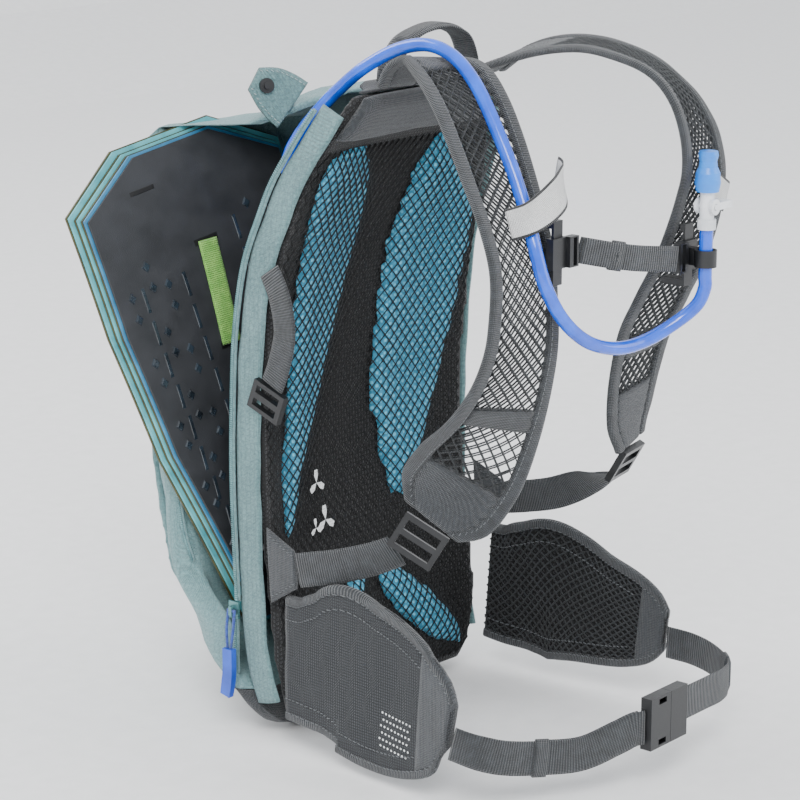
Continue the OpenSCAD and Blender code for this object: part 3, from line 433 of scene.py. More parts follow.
def lattice(name, spot, columns, rows, gauge, body, material, stands_for=()):
    """Open diamond net. spot gives the point at a share across (-1 to 1) and a share along (0 to 1)."""
    index = {}
    points = []
    for j in range(rows + 1):
        for i in range(columns + 1):
            if (i + j) % 2 == 0:
                index[i, j] = len(points)
                points.append(spot(2 * i / columns - 1, j / rows))
    faces = []
    for j in range(1, rows):
        for i in range(1, columns):
            if (i + j) % 2:
                corners = (i, j - 1), (i + 1, j), (i, j + 1), (i - 1, j)
                faces.append(tuple(index[corner] for corner in corners))
    item = add(name, points, faces, body, material, stands_for)
    wire = item.modifiers.new("strands", "WIREFRAME")
    wire.thickness = gauge
    wire.use_even_offset = False
    return item


def bake(item):
    """Applies a piece's modifiers to its mesh."""
    mesh = bpy.data.meshes.new_from_object(item.evaluated_get(bpy.context.evaluated_depsgraph_get()))
    item.modifiers.clear()
    item.data = mesh
    mesh.polygons.foreach_set("use_smooth", [True] * len(mesh.polygons))
    return item


def soft_copy(node, name, material, voxel, smooth=4, wrinkle=0.0, size=0.03, body="pack"):
    """Soft piece that fills a CAD node's space, with rounded edges and a rumpled skin."""
    source = NODES[node].data
    item = add(name, [v.co for v in source.vertices], [tuple(p.vertices) for p in source.polygons], body, material,
               (node,))
    weld = item.modifiers.new("weld", "WELD")
    weld.merge_threshold = 0.00001
    remesh = item.modifiers.new("remesh", "REMESH")
    remesh.mode = "VOXEL"
    remesh.voxel_size = voxel
    rounding = item.modifiers.new("rounding", "SMOOTH")
    rounding.factor = 0.6
    rounding.iterations = smooth
    bake(item)
    if wrinkle:
        moved = rumple([v.co.copy() for v in item.data.vertices], size, wrinkle, len(name))
        for vertex, place in zip(item.data.vertices, moved):
            vertex.co = place
    item.data.materials.clear()
    item.data.materials.append(material)
    return item


def inflate(item, cap):
    """Swells a closed soft piece by a short cloth simulation, each point by no more than cap."""
    start = [v.co.copy() for v in item.data.vertices]
    cloth_modifier = item.modifiers.new("cloth", "CLOTH")
    cloth_modifier.settings.use_pressure = True
    cloth_modifier.settings.uniform_pressure_force = 4
    cloth_modifier.settings.effector_weights.gravity = 0
    scene = bpy.context.scene
    for moment in range(1, 21):
        scene.frame_set(moment)
    bake(item)
    scene.frame_set(1)
    for vertex, place in zip(item.data.vertices, start):
        move = vertex.co - place
        if move.length > cap:
            vertex.co = place + move.normalized() * cap
    finer = item.modifiers.new("finer", "SUBSURF")
    finer.levels = 1
    finer.render_levels = 1
    return item


def dress(node, material):
    """Gives a CAD node a finish."""
    for slot in NODES[node].material_slots:
        slot.material = material


def st(x, y, z, across, width, thick):
    """Station of a strip: its place, the way across, its width and thickness, in millimetres."""
    return [x, y, z, *across, width, thick]


# ---------------------------------------------------------------- drinking hose
HOSE_D = 9.6
HOSE = [
    (66, 29.6, 350), (66, 22, 350), (66, 14, 350), (57, 5, 350), (38, 2, 350), (14, 2, 352), (-12, 2, 358),
    (-36, 2, 372), (-54, 2, 394), (-61, 0, 420), (-60, -10, 440), (-57, -27, 460), (-55, -45, 477), (-53, -66, 493),
    (-49, -92, 507), (-47, -118, 512), (-49, -142, 506), (-54, -165, 490), (-60, -187, 464), (-66, -207, 436),
    (-72, -224, 408), (-76, -235, 384), (-73, -241, 362), (-58, -245, 338), (-32, -247, 319), (-2, -250, 310),
    (24, -256, 312), (44, -267, 323), (54, -277, 335), (57, -281, 347), (57, -281, 355), (57, -281, 370),
    (57, -281, 388)]


def drinking_hose():
    run = [Vector(row) * MM for row in spline(HOSE, 6)]
    data = bpy.data.curves.new("hose", "CURVE")
    data.dimensions = "3D"
    data.bevel_depth = HOSE_D * MM / 2
    data.bevel_resolution = 6
    data.use_fill_caps = True
    line = data.splines.new("POLY")
    line.points.add(len(run) - 1)
    for point, place in zip(line.points, run):
        point.co = (*place, 1)
    line.use_smooth = True
    data.materials.append(HOSE_BLUE)
    item = bpy.data.objects.new("hose", data)
    bpy.context.scene.collection.objects.link(item)
    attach(item, "pack")
    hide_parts("drinking_hose")
    length = sum((b - a).length for a, b in zip(run, run[1:]))
    tuple(run[0])
    dress("hose_inner", HOSE_BLUE)
    dress("hose_port", PLASTIC)
    dress("valve_body", VALVE_WHITE)
    dress("shutoff_lever", VALVE_WHITE)
    dress("bite_valve", BITE)


drinking_hose()

# ---------------------------------------------------------------- bag
# Levels: z, the open side's back edge x and y, the back wall's y inside that edge and near the middle, the
# closed side's back edge y, both side walls' x, and the front's y at the open side, middle and closed side
BAG_LEVELS = [
    [0, -70, -24, -24, -22, -24, -76, 76, 2, 60, 6],
    [12, -98, -24, -22, -20, -24, -104, 104, 0, 86, 6],
    [24, -111, -14, -20, -20, -14, -113, 113, 8, 104, 14],
    [34, -113, -2, -14, -18, -6, -115, 115, 22, 114, 26],
    [43, -114, 4, 0, -10, -2, -116, 116, 38, 122, 40],
    [54, -115, 6, 34, 18, 0, -117, 117, 54, 128, 54],
    [80, -115, 7, 44, 23, 3, -117, 117, 68, 137, 66],
    [108, -102, 50, 50, 26, 4, -117, 117, 80, 143, 76],
    [150, -113, 54, 50, 28, 4, -118, 118, 90, 148, 84],
    [200, -114, 61, 54, 32, 3, -118, 118, 98, 150, 90],
    [250, -114, 70, 62, 38, 1, -118, 118, 104, 152, 90],
    [300, -114, 79, 71, 46, -2, -117, 117, 109, 150, 84],
    [350, -114, 91, 83, 57, -9, -116, 116, 114, 143, 72],
    [390, -112, 100, 93, 66, -22, -114, 112, 118, 126, 56],
    [425, -100, 104, 99, 68, -38, -103, 106, 118, 102, 36],
    [438, -80, 100, 97, 62, -47, -86, 98, 106, 88, 20],
    [446, -58, 28, 28, 10, -51, -61, 93, 54, 56, 12],
    [457.5, -51, -4, -6, -28, -54, -55, 90, 28, 38, 4],
    [466, -44, -26, -28, -38, -60, -48, 84, 2, 16, -14],
    [472, -34, -36, -38, -44, -62, -38, 74, -16, -6, -26]]
SEAM = 3
SHOULDER = 13


def level_ring(row, grow=0.0):
    """Outline of the bag at a level, in metres."""
    open_edge = [row[1], row[2]]
    closed_edge = [row[7] - 4, row[5]]
    back = [open_edge, [min(row[1] + 24, -20), row[3]], [28, row[4]], closed_edge]
    front = [closed_edge, [row[7], (row[5] + row[10]) / 2], [row[7] - 27, row[10]], [0, row[9]],
             [row[6] + 24.3, row[8]], [row[6], (row[2] + row[8]) / 2], open_edge]
    flat = spline(back, 5)[:-1] + spline(front, 6)[:-1]
    middle = Vector((sum(p[0] for p in flat) / len(flat), sum(p[1] for p in flat) / len(flat)))
    ring = []
    for x, y in flat:
        way = (Vector((x, y)) - middle).normalized() * grow
        ring.append(Vector((x + way.x, y + way.y, row[0])) * MM)
    return ring


def bag():
    rows = spline(BAG_LEVELS[SEAM:SHOULDER + 1], 3)[:-1]
    for low, high in zip(BAG_LEVELS[SHOULDER:], BAG_LEVELS[SHOULDER + 1:]):
        rows += [[a + (b - a) * k / 3 for a, b in zip(low, high)] for k in range(3)]
    rows.append(BAG_LEVELS[-1])
    rings = [level_ring(row) for row in rows]
    points, faces = loft(rings)
    points = rumple(points, 0.035, 0.0022)
    points = rumple(points, 0.011, 0.0007, 5)
    add("bag_body", points, faces, "pack", BAG_TEAL, ("main_bag",))
    rings = [level_ring(row, 0.8) for row in spline(BAG_LEVELS[:SEAM + 1], 4)]
    rings.append(level_ring(BAG_LEVELS[SEAM], -1))
    points, faces = loft(rings)
    moved = rumple(points, 0.018, 0.0022, 2)
    points = [Vector((m.x, m.y, max(m.z, 0.0))) for m in moved]
    add("boot", points, faces, "pack", BOOT, ("base_boot",))
    soft_copy("front_pocket", "pocket", BAG_TEAL, 0.003, wrinkle=0.0012)
    soft_copy("top_cover", "cover", CHARCOAL, 0.0014, smooth=2)
    dress("pocket_zip", PLASTIC)
    dress("pocket_zip_slider", PLASTIC)
    film = soft_copy("reservoir", "water_bag", FILM, 0.004, wrinkle=0.001)
    dress("reservoir_cap", LINK_BLUE)
    dress("quick_link", LINK_BLUE)


bag()

# ---------------------------------------------------------------- back panel
BACK_CURVE = [(0, -40), (50, -39), (136, -29), (184, -24), (248, -22), (313, -30), (366, -40), (420, -58), (480, -84)]
HOLLOW = [(0, 6), (60, 8), (120, 12), (200, 16), (350, 16), (430, 10), (480, 4)]
PANEL_HALF = [(10, 94), (24, 106), (60, 114), (320, 114), (366, 112), (400, 107), (430, 98), (455, 86), (476, 74)]


def back_y(x, z):
    """Where the back's curve lies, in millimetres."""
    return lookup(z, BACK_CURVE) + lookup(z, HOLLOW) * (1 - min(abs(x) / 112, 1) ** 2)


def panel():
    item = soft_copy("back_panel", "panel", PANEL_MESH, 0.003, smooth=3)
    pads = []
    for node, cap in (("pad_upper_left", 0.002), ("pad_upper_right", 0.002), ("pad_lower_left", 0.0015),
                      ("pad_lower_right", 0.0015)):
        pad = inflate(soft_copy(node, node + "_foam", FOAM, 0.004, smooth=5), cap)
        pads.append(pad)
    yoke = inflate(soft_copy("yoke_pad", "yoke", CHARCOAL, 0.004, smooth=4), 0.0015)
    return [item] + pads


def surface_under(pieces):
    """Ray targets of several pieces, modifiers included."""
    graph = bpy.context.evaluated_depsgraph_get()
    graph.update()
    return [BVHTree.FromObject(piece, graph) for piece in pieces]


def net(pieces):
    """Net drawn tight over the pads: it rests on them and dips a little between."""
    columns = 54
    rows = 84
    low = 16
    high = 436
    trees = surface_under(pieces)
    depth = {}
    for j in range(rows + 1):
        z = low + (high - low) * j / rows
        half = lookup(z, PANEL_HALF) - 4
        for i in range(columns + 1):
            x = half * (2 * i / columns - 1)
            hits = [tree.ray_cast(Vector((x * MM, -0.2, z * MM)), Vector((0, 1, 0)))[0] for tree in trees]
            front = [hit.y for hit in hits if hit]
            depth[i, j] = min(front) if front else (back_y(x, z) - 10) * MM
    drawn = dict(depth)
    for _ in range(14):
        for j in range(1, rows):
            for i in range(1, columns):
                around = drawn[i - 1, j] + drawn[i + 1, j] + drawn[i, j - 1] + drawn[i, j + 1]
                drawn[i, j] = min(around / 4, depth[i, j])

    def spot(side, run):
        i = round((side + 1) / 2 * columns)
        j = round(run * rows)
        z = low + (high - low) * run
        half = lookup(z, PANEL_HALF) - 4
        return Vector((half * side * MM, drawn[i, j] - 0.0009, z * MM))

    lattice("net", spot, columns, rows, 0.0014, "pack", NET, ("back_net",))


def perforation(name, x, z, size):
    """Three-armed opening in the panel, with the pale lining in it."""
    points = [Vector((x * MM, (back_y(x, z) - 9.4) * MM, z * MM))]
    faces = []
    for k in range(3):
        turn = math.radians(90 + 120 * k)
        for swing, reach in ((-0.42, 0.62), (-0.2, 1.0), (0.2, 1.0), (0.42, 0.62)):
            u = x + size * reach * math.cos(turn + swing)
            w = z + size * reach * math.sin(turn + swing)
            points.append(Vector((u * MM, (back_y(u, w) - 9.4) * MM, w * MM)))
        base = 1 + 4 * k
        faces += [(0, base, base + 1), (0, base + 1, base + 2), (0, base + 2, base + 3)]
    add(name, points, faces, "pack", HOLE_WHITE)


net(panel())
for number, (hole_x, hole_z, hole_size) in enumerate([(-57, 184, 10), (-51, 155, 11), (-64, 152, 7)]):
    perforation("perforation_%d" % number, hole_x, hole_z, hole_size)

# ---------------------------------------------------------------- side strips and zip
STRIP = [[30, -114, -25], [60, -116, -17], [97, -116.5, -13], [190, -117, -10], [250, -117, -11], [306, -116.5, -15],
         [355, -115, -23], [392, -111.5, -36], [415, -108, -45], [435, -101.5, -54], [452, -93, -60], [466, -86, -66]]
FAR_WIDTH = [(392, 1), (435, 0.8), (452, 0.62), (466, 0.42)]
STRIP_W = 24


def strip_stations(side):
    rows = []
    for z, x, y in STRIP:
        share = 1 if side > 0 else lookup(z, FAR_WIDTH)
        rows.append(st(side * x, y - (1 - share) * STRIP_W / 2, z, (0.1 * side, 1, 0), STRIP_W * share, 3.6))
    return rows


def side_strips():
    for name, side in (("left", 1), ("right", -1)):
        track = Track(strip_stations(side))
        ribbon("side_strip_%s_cloth" % name, track, "pack", STRIP_TEAL, count=10, edge=0.5, power=8, step=0.005,
               stands_for=("side_strip_" + name,), wrinkle=0.0009)
        lift = 0.0021 if side < 0 else -0.0021
        bars("strip_seam_" + name, track, "pack", TEAL_THREAD, side=(-1, 0.006), lift=lift, size=(0.0006, 0.0024, 0.0008))
        bars("strip_hem_" + name, track, "pack", TEAL_THREAD, side=(1, -0.005), lift=lift, size=(0.0006, 0.0024, 0.0008))


OPEN_STRIP = [(-118.8, 0, 104), (-119.3, 3, 190), (-119.3, 2, 250), (-118.8, -1, 306), (-117.4, -9, 355),
              (-113.8, -21.5, 392), (-110.2, -30, 415), (-103.8, -39, 435), (-95.2, -45, 452), (-88.2, -51, 466)]


def bag_row(z):
    """The bag's level at a height."""
    index = max(i for i, row in enumerate(BAG_LEVELS[:-1]) if row[0] <= z)
    low, high = BAG_LEVELS[index], BAG_LEVELS[index + 1]
    t = (z - low[0]) / (high[0] - low[0])
    return [a * (1 - t) + b * t for a, b in zip(low, high)]


def zips():
    strip_side = Track([st(x, y, z, (0.1, 1, 0), 5, 1.4) for x, y, z in OPEN_STRIP])
    bag_side = Track([
        st(row[1] - 4.9, row[2] + 1, row[0], (0.25, 1, 0), 5, 1.4)
        for row in [bag_row(z) for z in (122, 150, 200, 250, 300, 350, 390, 422)]])
    closed = Track([st(-118.2, 2.6, z, (0, 1, 0), 5, 1.4) for z in (48, 65, 82, 100)])
    for name, track, node in (("strip", strip_side, "zip_chain_strip"), ("bag", bag_side, "zip_chain_bag"),
                              ("closed", closed, "zip_chain_closed")):
        ribbon("zip_tape_" + name, track, "pack", STRIP_TEAL, stands_for=(node,), count=4)
        for lift in (-0.0011, 0.0011):
            bars("zip_coil_%s_%d" % (name, lift > 0), track, "pack", ZIP, side=(1, -0.0014), lift=lift, pitch=0.0016,
                 size=(0.0026, 0.0010, 0.0010))
    dress("zip_slider", ZIP_METAL)
    dress("zip_pull_cord", CORD)
    dress("zip_pull_grip", GRIP)


side_strips()
zips()

# ---------------------------------------------------------------- flap and handle
FLAP = [st(-54.5, 0.5, 460.5, (34, -13, 22), 40, 2.6), st(-61, 5.5, 467, (34, -13, 24), 38, 2.6),
        st(-69, 11, 474, (34, -13, 24), 32, 2.6), st(-77.5, 17, 480.5, (30, -10, 24), 18, 2.6)]
HANDLE_X = [(-34, 2, 0), (-32, 1, 14), (-19, -2, 31), (8, -6, 38), (32, -8, 31), (44, -7, 14), (46, -6, 0)]
HANDLE = [st(x, y - 73, z + 480, (0, 1, 0), 20, 2.6) for x, y, z in HANDLE_X]


def flap_and_handle():
    track = Track(FLAP)
    ribbon("flap_outside", track, "flap", STRIP_TEAL, thick=0.0007, lift=-0.0006, stands_for=("top_flap",), step=0.002)
    # the lining's darker teal is painted shade under the flap
    ribbon("flap_lining", track, "flap", SHADED_LINING, thick=0.0007, lift=0.0008, step=0.002)
    bars("flap_stitch_1", track, "flap", TEAL_THREAD, side=(-1, 0.003), lift=-0.0015)
    bars("flap_stitch_2", track, "flap", TEAL_THREAD, side=(1, -0.003), lift=-0.0015)
    dress("flap_snap", PLASTIC)
    track = Track(HANDLE)
    ribbon("handle_web", track, "pack", WEBBING, stands_for=("carry_handle",), thick=0.0014, step=0.002)
    ribbon("handle_grip", track, "pack", BINDING, span=((-0.75, 0), (0.75, 0)), thick=0.0026, start=0.25, end=0.75)


flap_and_handle()

# ---------------------------------------------------------------- protector
PROT_TOP = Vector((-99, 84, 439.2))
PROT_YAW = math.radians(-12)
PROT_ROLL = math.radians(-12.7)
LEAN_TOP = math.radians(16.3)
LEAN_END = math.radians(1.3)
PROT_W = 191
PROT_H = 380
PROT_T = 14
PROT_HALF = [(0, 0.456), (0.088, 1), (0.334, 0.998), (0.595, 0.892), (0.926, 0.589), (1, 0.5)]


def on_plate(u, s, t):
    """Point of the bent protector: u across, s down its length, t back from its face, in millimetres."""
    bend = (LEAN_TOP - LEAN_END) / PROT_H
    lean = LEAN_TOP - bend * s
    y = -(math.cos(lean) - math.cos(LEAN_TOP)) / bend + t * math.cos(lean)
    z = -(math.sin(LEAN_TOP) - math.sin(lean)) / bend - t * math.sin(lean)
    x = u * math.cos(PROT_ROLL) + z * math.sin(PROT_ROLL)
    z = -u * math.sin(PROT_ROLL) + z * math.cos(PROT_ROLL)
    turned = Vector((
        x * math.cos(PROT_YAW) - y * math.sin(PROT_YAW), x * math.sin(PROT_YAW) + y * math.cos(PROT_YAW), z))
    return (PROT_TOP + turned) * MM


def plate(name, inset, front, back, material, stands_for=()):
    """One layer of the protector, with softened corners."""
    rings = []
    for share in sorted(even(0, 1, 24) + [0.088, 0.334, 0.595, 0.926]):
        half = lookup(share, PROT_HALF) * PROT_W / 2 - inset
        s = inset + share * (PROT_H - 2 * inset)
        soft = (back - front) * 0.3
        ring = [(-half, back - soft), (-half, front + soft), (-half + soft, front)]
        ring += [(half * k, front) for k in (-0.6, -0.2, 0.2, 0.6)]
        ring += [(half - soft, front), (half, front + soft), (half, back - soft), (half - soft, back),
                 (-half + soft, back)]
        rings.append([on_plate(u, s, t) for u, t in ring])
    points, faces = loft(rings)
    item = add(name, points, faces, "protector", material, stands_for)
    edges = item.modifiers.new("edges", "EDGE_SPLIT")
    edges.split_angle = math.radians(35)
    return item


def stud(name, spots, size, rise, material):
    """Raised diamonds or bars on the protector's face: size is half across and half along."""
    points = []
    faces = []
    for u, s, turned in spots:
        base = len(points)
        for level, share in ((-0.05, 1.0), (rise, 0.72)):
            corners = ((-1, 0), (0, 1), (1, 0), (0, -1)) if turned else ((-1, -1), (-1, 1), (1, 1), (1, -1))
            points += [on_plate(u + a * size[0] * share, s + b * size[1] * share, -level) for a, b in corners]
        faces.append((base + 4, base + 5, base + 6, base + 7))
        faces += [(base + k, base + (k + 1) % 4, base + 4 + (k + 1) % 4, base + 4 + k) for k in range(4)]
    item = add(name, points, faces, "protector", material)
    item.data.polygons.foreach_set("use_smooth", [False] * len(item.data.polygons))


def protector():
    layers = [("rim_rear", 0, RIM_OLIVE, ("protector_rear",)), ("rim_aqua", 1.0, RIM_AQUA, ()),
              ("rim_line_1", 4.2, RIM_OLIVE, ("protector_middle",)), ("rim_teal", 4.9, RIM_AQUA, ()),
              ("rim_line_2", 6.9, RIM_OLIVE, ()), ("rim_blue", 7.6, RIM_BLUE, ())]
    depth = PROT_T / 7
    for number, (name, inset, material, nodes) in enumerate(layers):
        plate(name, inset, PROT_T - depth * (number + 1), PROT_T - depth * number, material, nodes)
    plate("protector_front", 9.6, 0, depth, FACE, ("protector_face",))
    diamonds = []
    dashes = []
    for row in range(11):
        s = 70 + 25 * row
        half = lookup(s / PROT_H, PROT_HALF) * PROT_W / 2 - 9
        step = 9 if row % 2 else 0
        for share in (-0.84, -0.47, 0.50, 0.86):
            if row > 0 or share > 0:
                diamonds.append((half * share, s + step, True))
        diamonds.append((half * -0.62, s + 16 - step, True))
        for share in (-0.72, -0.30, 0.34, 0.70):
            if row > 0 or share > 0:
                dashes.append((half * share, s + 14, False))
    stud("protector_diamonds", diamonds, (3.6, 4.6), 1.4, GLOSS)
    stud("protector_dashes", dashes, (1.5, 9.5), 0.5, GLOSS)
    # the slots and the window are flat near-black patches: painted shade where the plate is open
    stud("protector_slots", [(1, 84, False), (-4, 162, False)], (11, 2.6), 0.15, SLOT_SHADE)
    stud("protector_window", [(-36, 34, False)], (11, 1.8), 0.15, SLOT_SHADE)
    rows = []
    for s in (84, 90, 105, 122, 140, 155, 162):
        middle = on_plate(1 - (s - 88) * 0.09, s, -1.2)
        side = on_plate(10, s, -1.2) - on_plate(-10, s, -1.2)
        rows.append(st(*(middle / MM), tuple(side.normalized()), 16, 1.5))
    ribbon("protector_pull", Track(rows), "protector", GREEN_WEB, stands_for=("protector_loop",), step=0.003)


protector()

# ---------------------------------------------------------------- shoulder straps
STRAP_T = 9
STRAP_L = [
    st(-48, -94, 483, (1, 0, 0), 50, STRAP_T), st(-47, -105, 497, (1, -0.1, 0), 56, STRAP_T),
    st(-46, -122, 501.5, (0.94, -0.34, -0.1), 60, STRAP_T), st(-50, -142, 495, (0.96, -0.3, 0), 63, STRAP_T),
    st(-56, -162, 478, (0.97, -0.25, 0), 65, STRAP_T), st(-62, -180, 455, (0.98, -0.2, 0), 66, STRAP_T),
    st(-69, -199, 427, (1, -0.1, 0), 68, STRAP_T), st(-75, -215, 401, (1, 0, 0), 70, STRAP_T),
    st(-79, -226, 375, (1, 0, 0), 70, STRAP_T), st(-80, -228, 345, (1, -0.05, 0), 70, STRAP_T),
    st(-80, -226, 318, (0.99, -0.14, 0), 70, STRAP_T), st(-80, -217, 288, (0.96, -0.28, 0), 72, STRAP_T),
    st(-81, -202, 256, (0.86, -0.5, -0.1), 75, STRAP_T), st(-84, -184, 226, (0.6, -0.72, -0.34), 78, STRAP_T),
    st(-88, -168, 203, (0.4, -0.78, -0.48), 74, STRAP_T), st(-93, -160, 190, (0.37, -0.78, -0.5), 48, STRAP_T)]
STRAP_R = [
    st(48, -94, 483, (1, 0, 0), 50, STRAP_T), st(48, -122, 497, (0.97, 0.2, 0.1), 56, STRAP_T),
    st(49, -155, 506, (0.92, 0.38, 0.05), 60, STRAP_T), st(51, -188, 508, (0.88, 0.47, 0), 62, STRAP_T),
    st(54, -216, 503, (0.88, 0.47, 0), 64, STRAP_T), st(58, -239, 493, (0.9, 0.42, -0.04), 65, STRAP_T),
    st(63, -254, 477, (0.94, 0.32, -0.08), 65, STRAP_T), st(70, -262, 454, (0.96, 0.22, -0.13), 65, STRAP_T),
    st(77, -263, 430, (0.97, 0.16, -0.17), 64, STRAP_T), st(81, -259, 406, (0.97, 0.1, -0.2), 64, STRAP_T),
    st(82, -252, 381, (0.97, 0.06, -0.2), 64, STRAP_T), st(82, -242, 355, (0.97, 0.04, -0.2), 64, STRAP_T),
    st(84, -227, 328, (0.97, 0.04, -0.2), 64, STRAP_T), st(88, -211, 299, (0.97, 0.05, -0.2), 64, STRAP_T),
    st(93, -199, 263, (0.97, 0.08, -0.2), 63, STRAP_T), st(98, -192, 231, (0.97, 0.12, -0.15), 59, STRAP_T),
    st(101, -191, 212, (0.97, 0.2, 0), 48, STRAP_T)]
BIND = 0.011


def strap(name, stations, node, solid_top, patch):
    """Shoulder strap: two layers of open net between bound edges, with solid ends and a cross patch."""
    track = Track(stations)
    half_t = STRAP_T * MM / 2
    for side, span in ((-1, ((-1, 0), (-1, BIND))), (1, ((1, -BIND), (1, 0)))):
        label = "%s_binding_%s" % (name, "inner" if side > 0 else "outer")
        edge = ribbon(label, track, "pack", BINDING, span=span, thick=half_t * 0.62, count=6, power=3, edge=0.35)
        if side < 0:
            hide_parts(node)
        for lift in (-1, 1):
            bars("%s_stitch_%d_%d" % (name, side, lift), track, "pack", THREAD, side=(side, -side * 0.0085),
                 lift=lift * half_t * 0.6)
    columns = 12
    rows = 2 * round(track.length / 0.0092)
    for layer, lift in (("front", half_t * 0.24), ("back", -half_t * 0.24)):
        def spot(side, run, lift=lift):
            along = track.length * run
            _, _, _, half, _ = track.at(along)
            crown = lift * (1.15 - 0.3 * side * side)
            return track.spot(side * (half - BIND * 0.75), along, crown)

        lattice("%s_net_%s" % (name, layer), spot, columns, rows, 0.0018, "pack", STRAP_NET)
    inside = ((-1, BIND * 0.8), (1, -BIND * 0.8))
    for label, low, high in (("top", 0.0, solid_top), ("end", 0.90, 1.0), ("patch", patch, patch + 0.035)):
        piece = ribbon("%s_%s" % (name, label), track, "pack", CHARCOAL if label != "patch" else BINDING, span=inside,
                       thick=half_t * 0.55, start=low, end=high, power=4)
    return track


LEFT_STRAP = strap("strap_left", STRAP_L, "shoulder_strap_left", 0.13, 0.755)
RIGHT_STRAP = strap("strap_right", STRAP_R, "shoulder_strap_right", 0.16, 0.80)

# ---------------------------------------------------------------- loops, sternum strap and lower webbing
LOOP_L = [st(x, y, z, (0.2, 0.3, 1), 22, 1.2) for x, y, z in (
    (-86, -219, 404), (-78, -231, 409), (-68, -237, 416), (-56, -238, 424), (-44, -232, 431), (-38, -222, 434))]
LOOP_R = [st(x, y - 5.8, z, (0.2, 0, 1), 22, 1.2) for x, y, z in ((68, -265.4, 421), (88, -261.5, 412), (109, -257, 402))]
STERNUM = [st(-36.8, -240.7, 383, (0, 0, 1), 18, 1.6), st(2.3, -257.4, 373.5, (0, 0, 1), 18, 1.6),
           st(41.4, -268, 368, (0, 0, 1), 18, 1.6)]
LOWER_L = [st(-103, -137, 166, (0.5, -0.55, -0.7), 25, 1.6), st(-108, -118, 157, (0.3, -0.35, -0.9), 25, 1.6),
           st(-114, -95, 149, (0.12, -0.25, -1), 25, 1.6), st(-119, -72, 143, (0, -0.2, -1), 25, 1.6),
           st(-121, -60.2, 140, (0, -0.2, -1), 25, 1.6)]
LOWER_R = [st(104, -170, 184, (0.9, 0.3, -0.4), 25, 1.6), st(108, -148, 172, (0.5, 0.35, -0.8), 25, 1.6),
           st(113, -115, 156, (0.1, 0.3, -1), 25, 1.6), st(119, -80, 145, (0, 0.2, -1), 25, 1.6),
           st(121, -60.2, 140, (0, 0.2, -1), 25, 1.6)]
TAB = [st(-120.6, -58, 140, (0, -0.2, -1), 28, 3), st(-120.4, -46, 139, (0, -0.1, -1), 41, 3),
       st(-120, -32, 138, (0, 0, -1), 56, 2)]
TAB_R = [st(-x, y, z, (a, b, c), w, t) for x, y, z, a, b, c, w, t in TAB]
COMP = [st(-119, -34, 354, (0, 1, 0), 18, 1.6), st(-121.5, -46, 336, (0, 1, -0.3), 20, 1.6),
        st(-123.5, -52, 312, (0, 1, -0.1), 20, 1.6), st(-124.5, -47, 288, (0, 1, 0.2), 20, 1.6),
        st(-124.5, -40.6, 273, (0, 1, 0.35), 20, 1.6)]


def keeper(name, track, middle, body="pack"):
    """Elastic band round a strap, at a share of its length."""
    share = 0.005 / track.length
    ribbon(name, track, body, BINDING, span=((-1, -0.0012), (1, 0.0012)), thick=0.0026, start=middle - share,
           end=middle + share, count=6, step=0.002)


def small_straps():
    ribbon("band_left", Track(LOOP_L), "pack", WHITE_BAND, stands_for=("strap_loop_left",), step=0.002)
    ribbon("band_right", Track(LOOP_R), "pack", WHITE_BAND, stands_for=("strap_loop_right",), step=0.002)
    chest = Track(STERNUM)
    ribbon("chest_web", chest, "chest_strap", WEBBING, stands_for=("sternum_strap",), step=0.002)
    ribbon("chest_fold", chest, "chest_strap", WEBBING, thick=0.0008, lift=0.0018, start=0.02, end=0.38, step=0.002)
    keeper("chest_keeper", chest, 0.36, "chest_strap")
    for node in ("sternum_slider_left", "sternum_slider_right", "strap_rail_left", "strap_rail_right",
                 "ladder_lock_left", "ladder_lock_right", "compression_buckle_left", "buckle_socket", "buckle_plug"):
        dress(node, PLASTIC)
    for name, rows, node in (("lower_web_left", LOWER_L, "lower_webbing_left"),
                             ("lower_web_right", LOWER_R, "lower_webbing_right"),
                             ("side_web_left", COMP, "compression_strap_left")):
        ribbon(name, Track(rows), "pack", WEBBING, stands_for=(node,), step=0.002)
    for name, rows, node in (("tab_left", TAB, "corner_tab_left"), ("tab_right", TAB_R, "corner_tab_right")):
        track = Track(rows)
        ribbon(name, track, "pack", CHARCOAL, stands_for=(node,), step=0.002)
        bars(name + "_stitch", track, "pack", THREAD, side=(-1, 0.004), lift=0.0017)
        bars(name + "_stitch_2", track, "pack", THREAD, side=(1, -0.004), lift=0.0017)


small_straps()

# ---------------------------------------------------------------- hip belt
WING_H = 122
WING = [(-48, -118, 71, 0.78), (-66, -119, 71, 0.8), (-84, -120.5, 73.5, 0.88), (-104, -122, 75.5, 1.04),
        (-128, -123.5, 70.5, 1.03), (-157, -125, 66, 0.96), (-181, -127, 63.5, 0.81), (-197, -128, 63, 0.58),
        (-208, -129, 61, 0.28)]
WING_FAR = [(-48, 118, 71, 0.78), (-66, 119, 70, 0.8), (-84, 120.5, 72, 0.86), (-104, 122, 73.5, 0.93),
            (-124, 123.5, 71.5, 0.88), (-150, 125.5, 67, 0.76), (-178, 127.5, 64, 0.64), (-198, 129, 62, 0.48),
            (-208, 129.5, 61, 0.28)]


def wing_track(rows):
    return Track([st(x, y, z, (0, 0, 1), WING_H * share, 7) for y, x, z, share in rows])


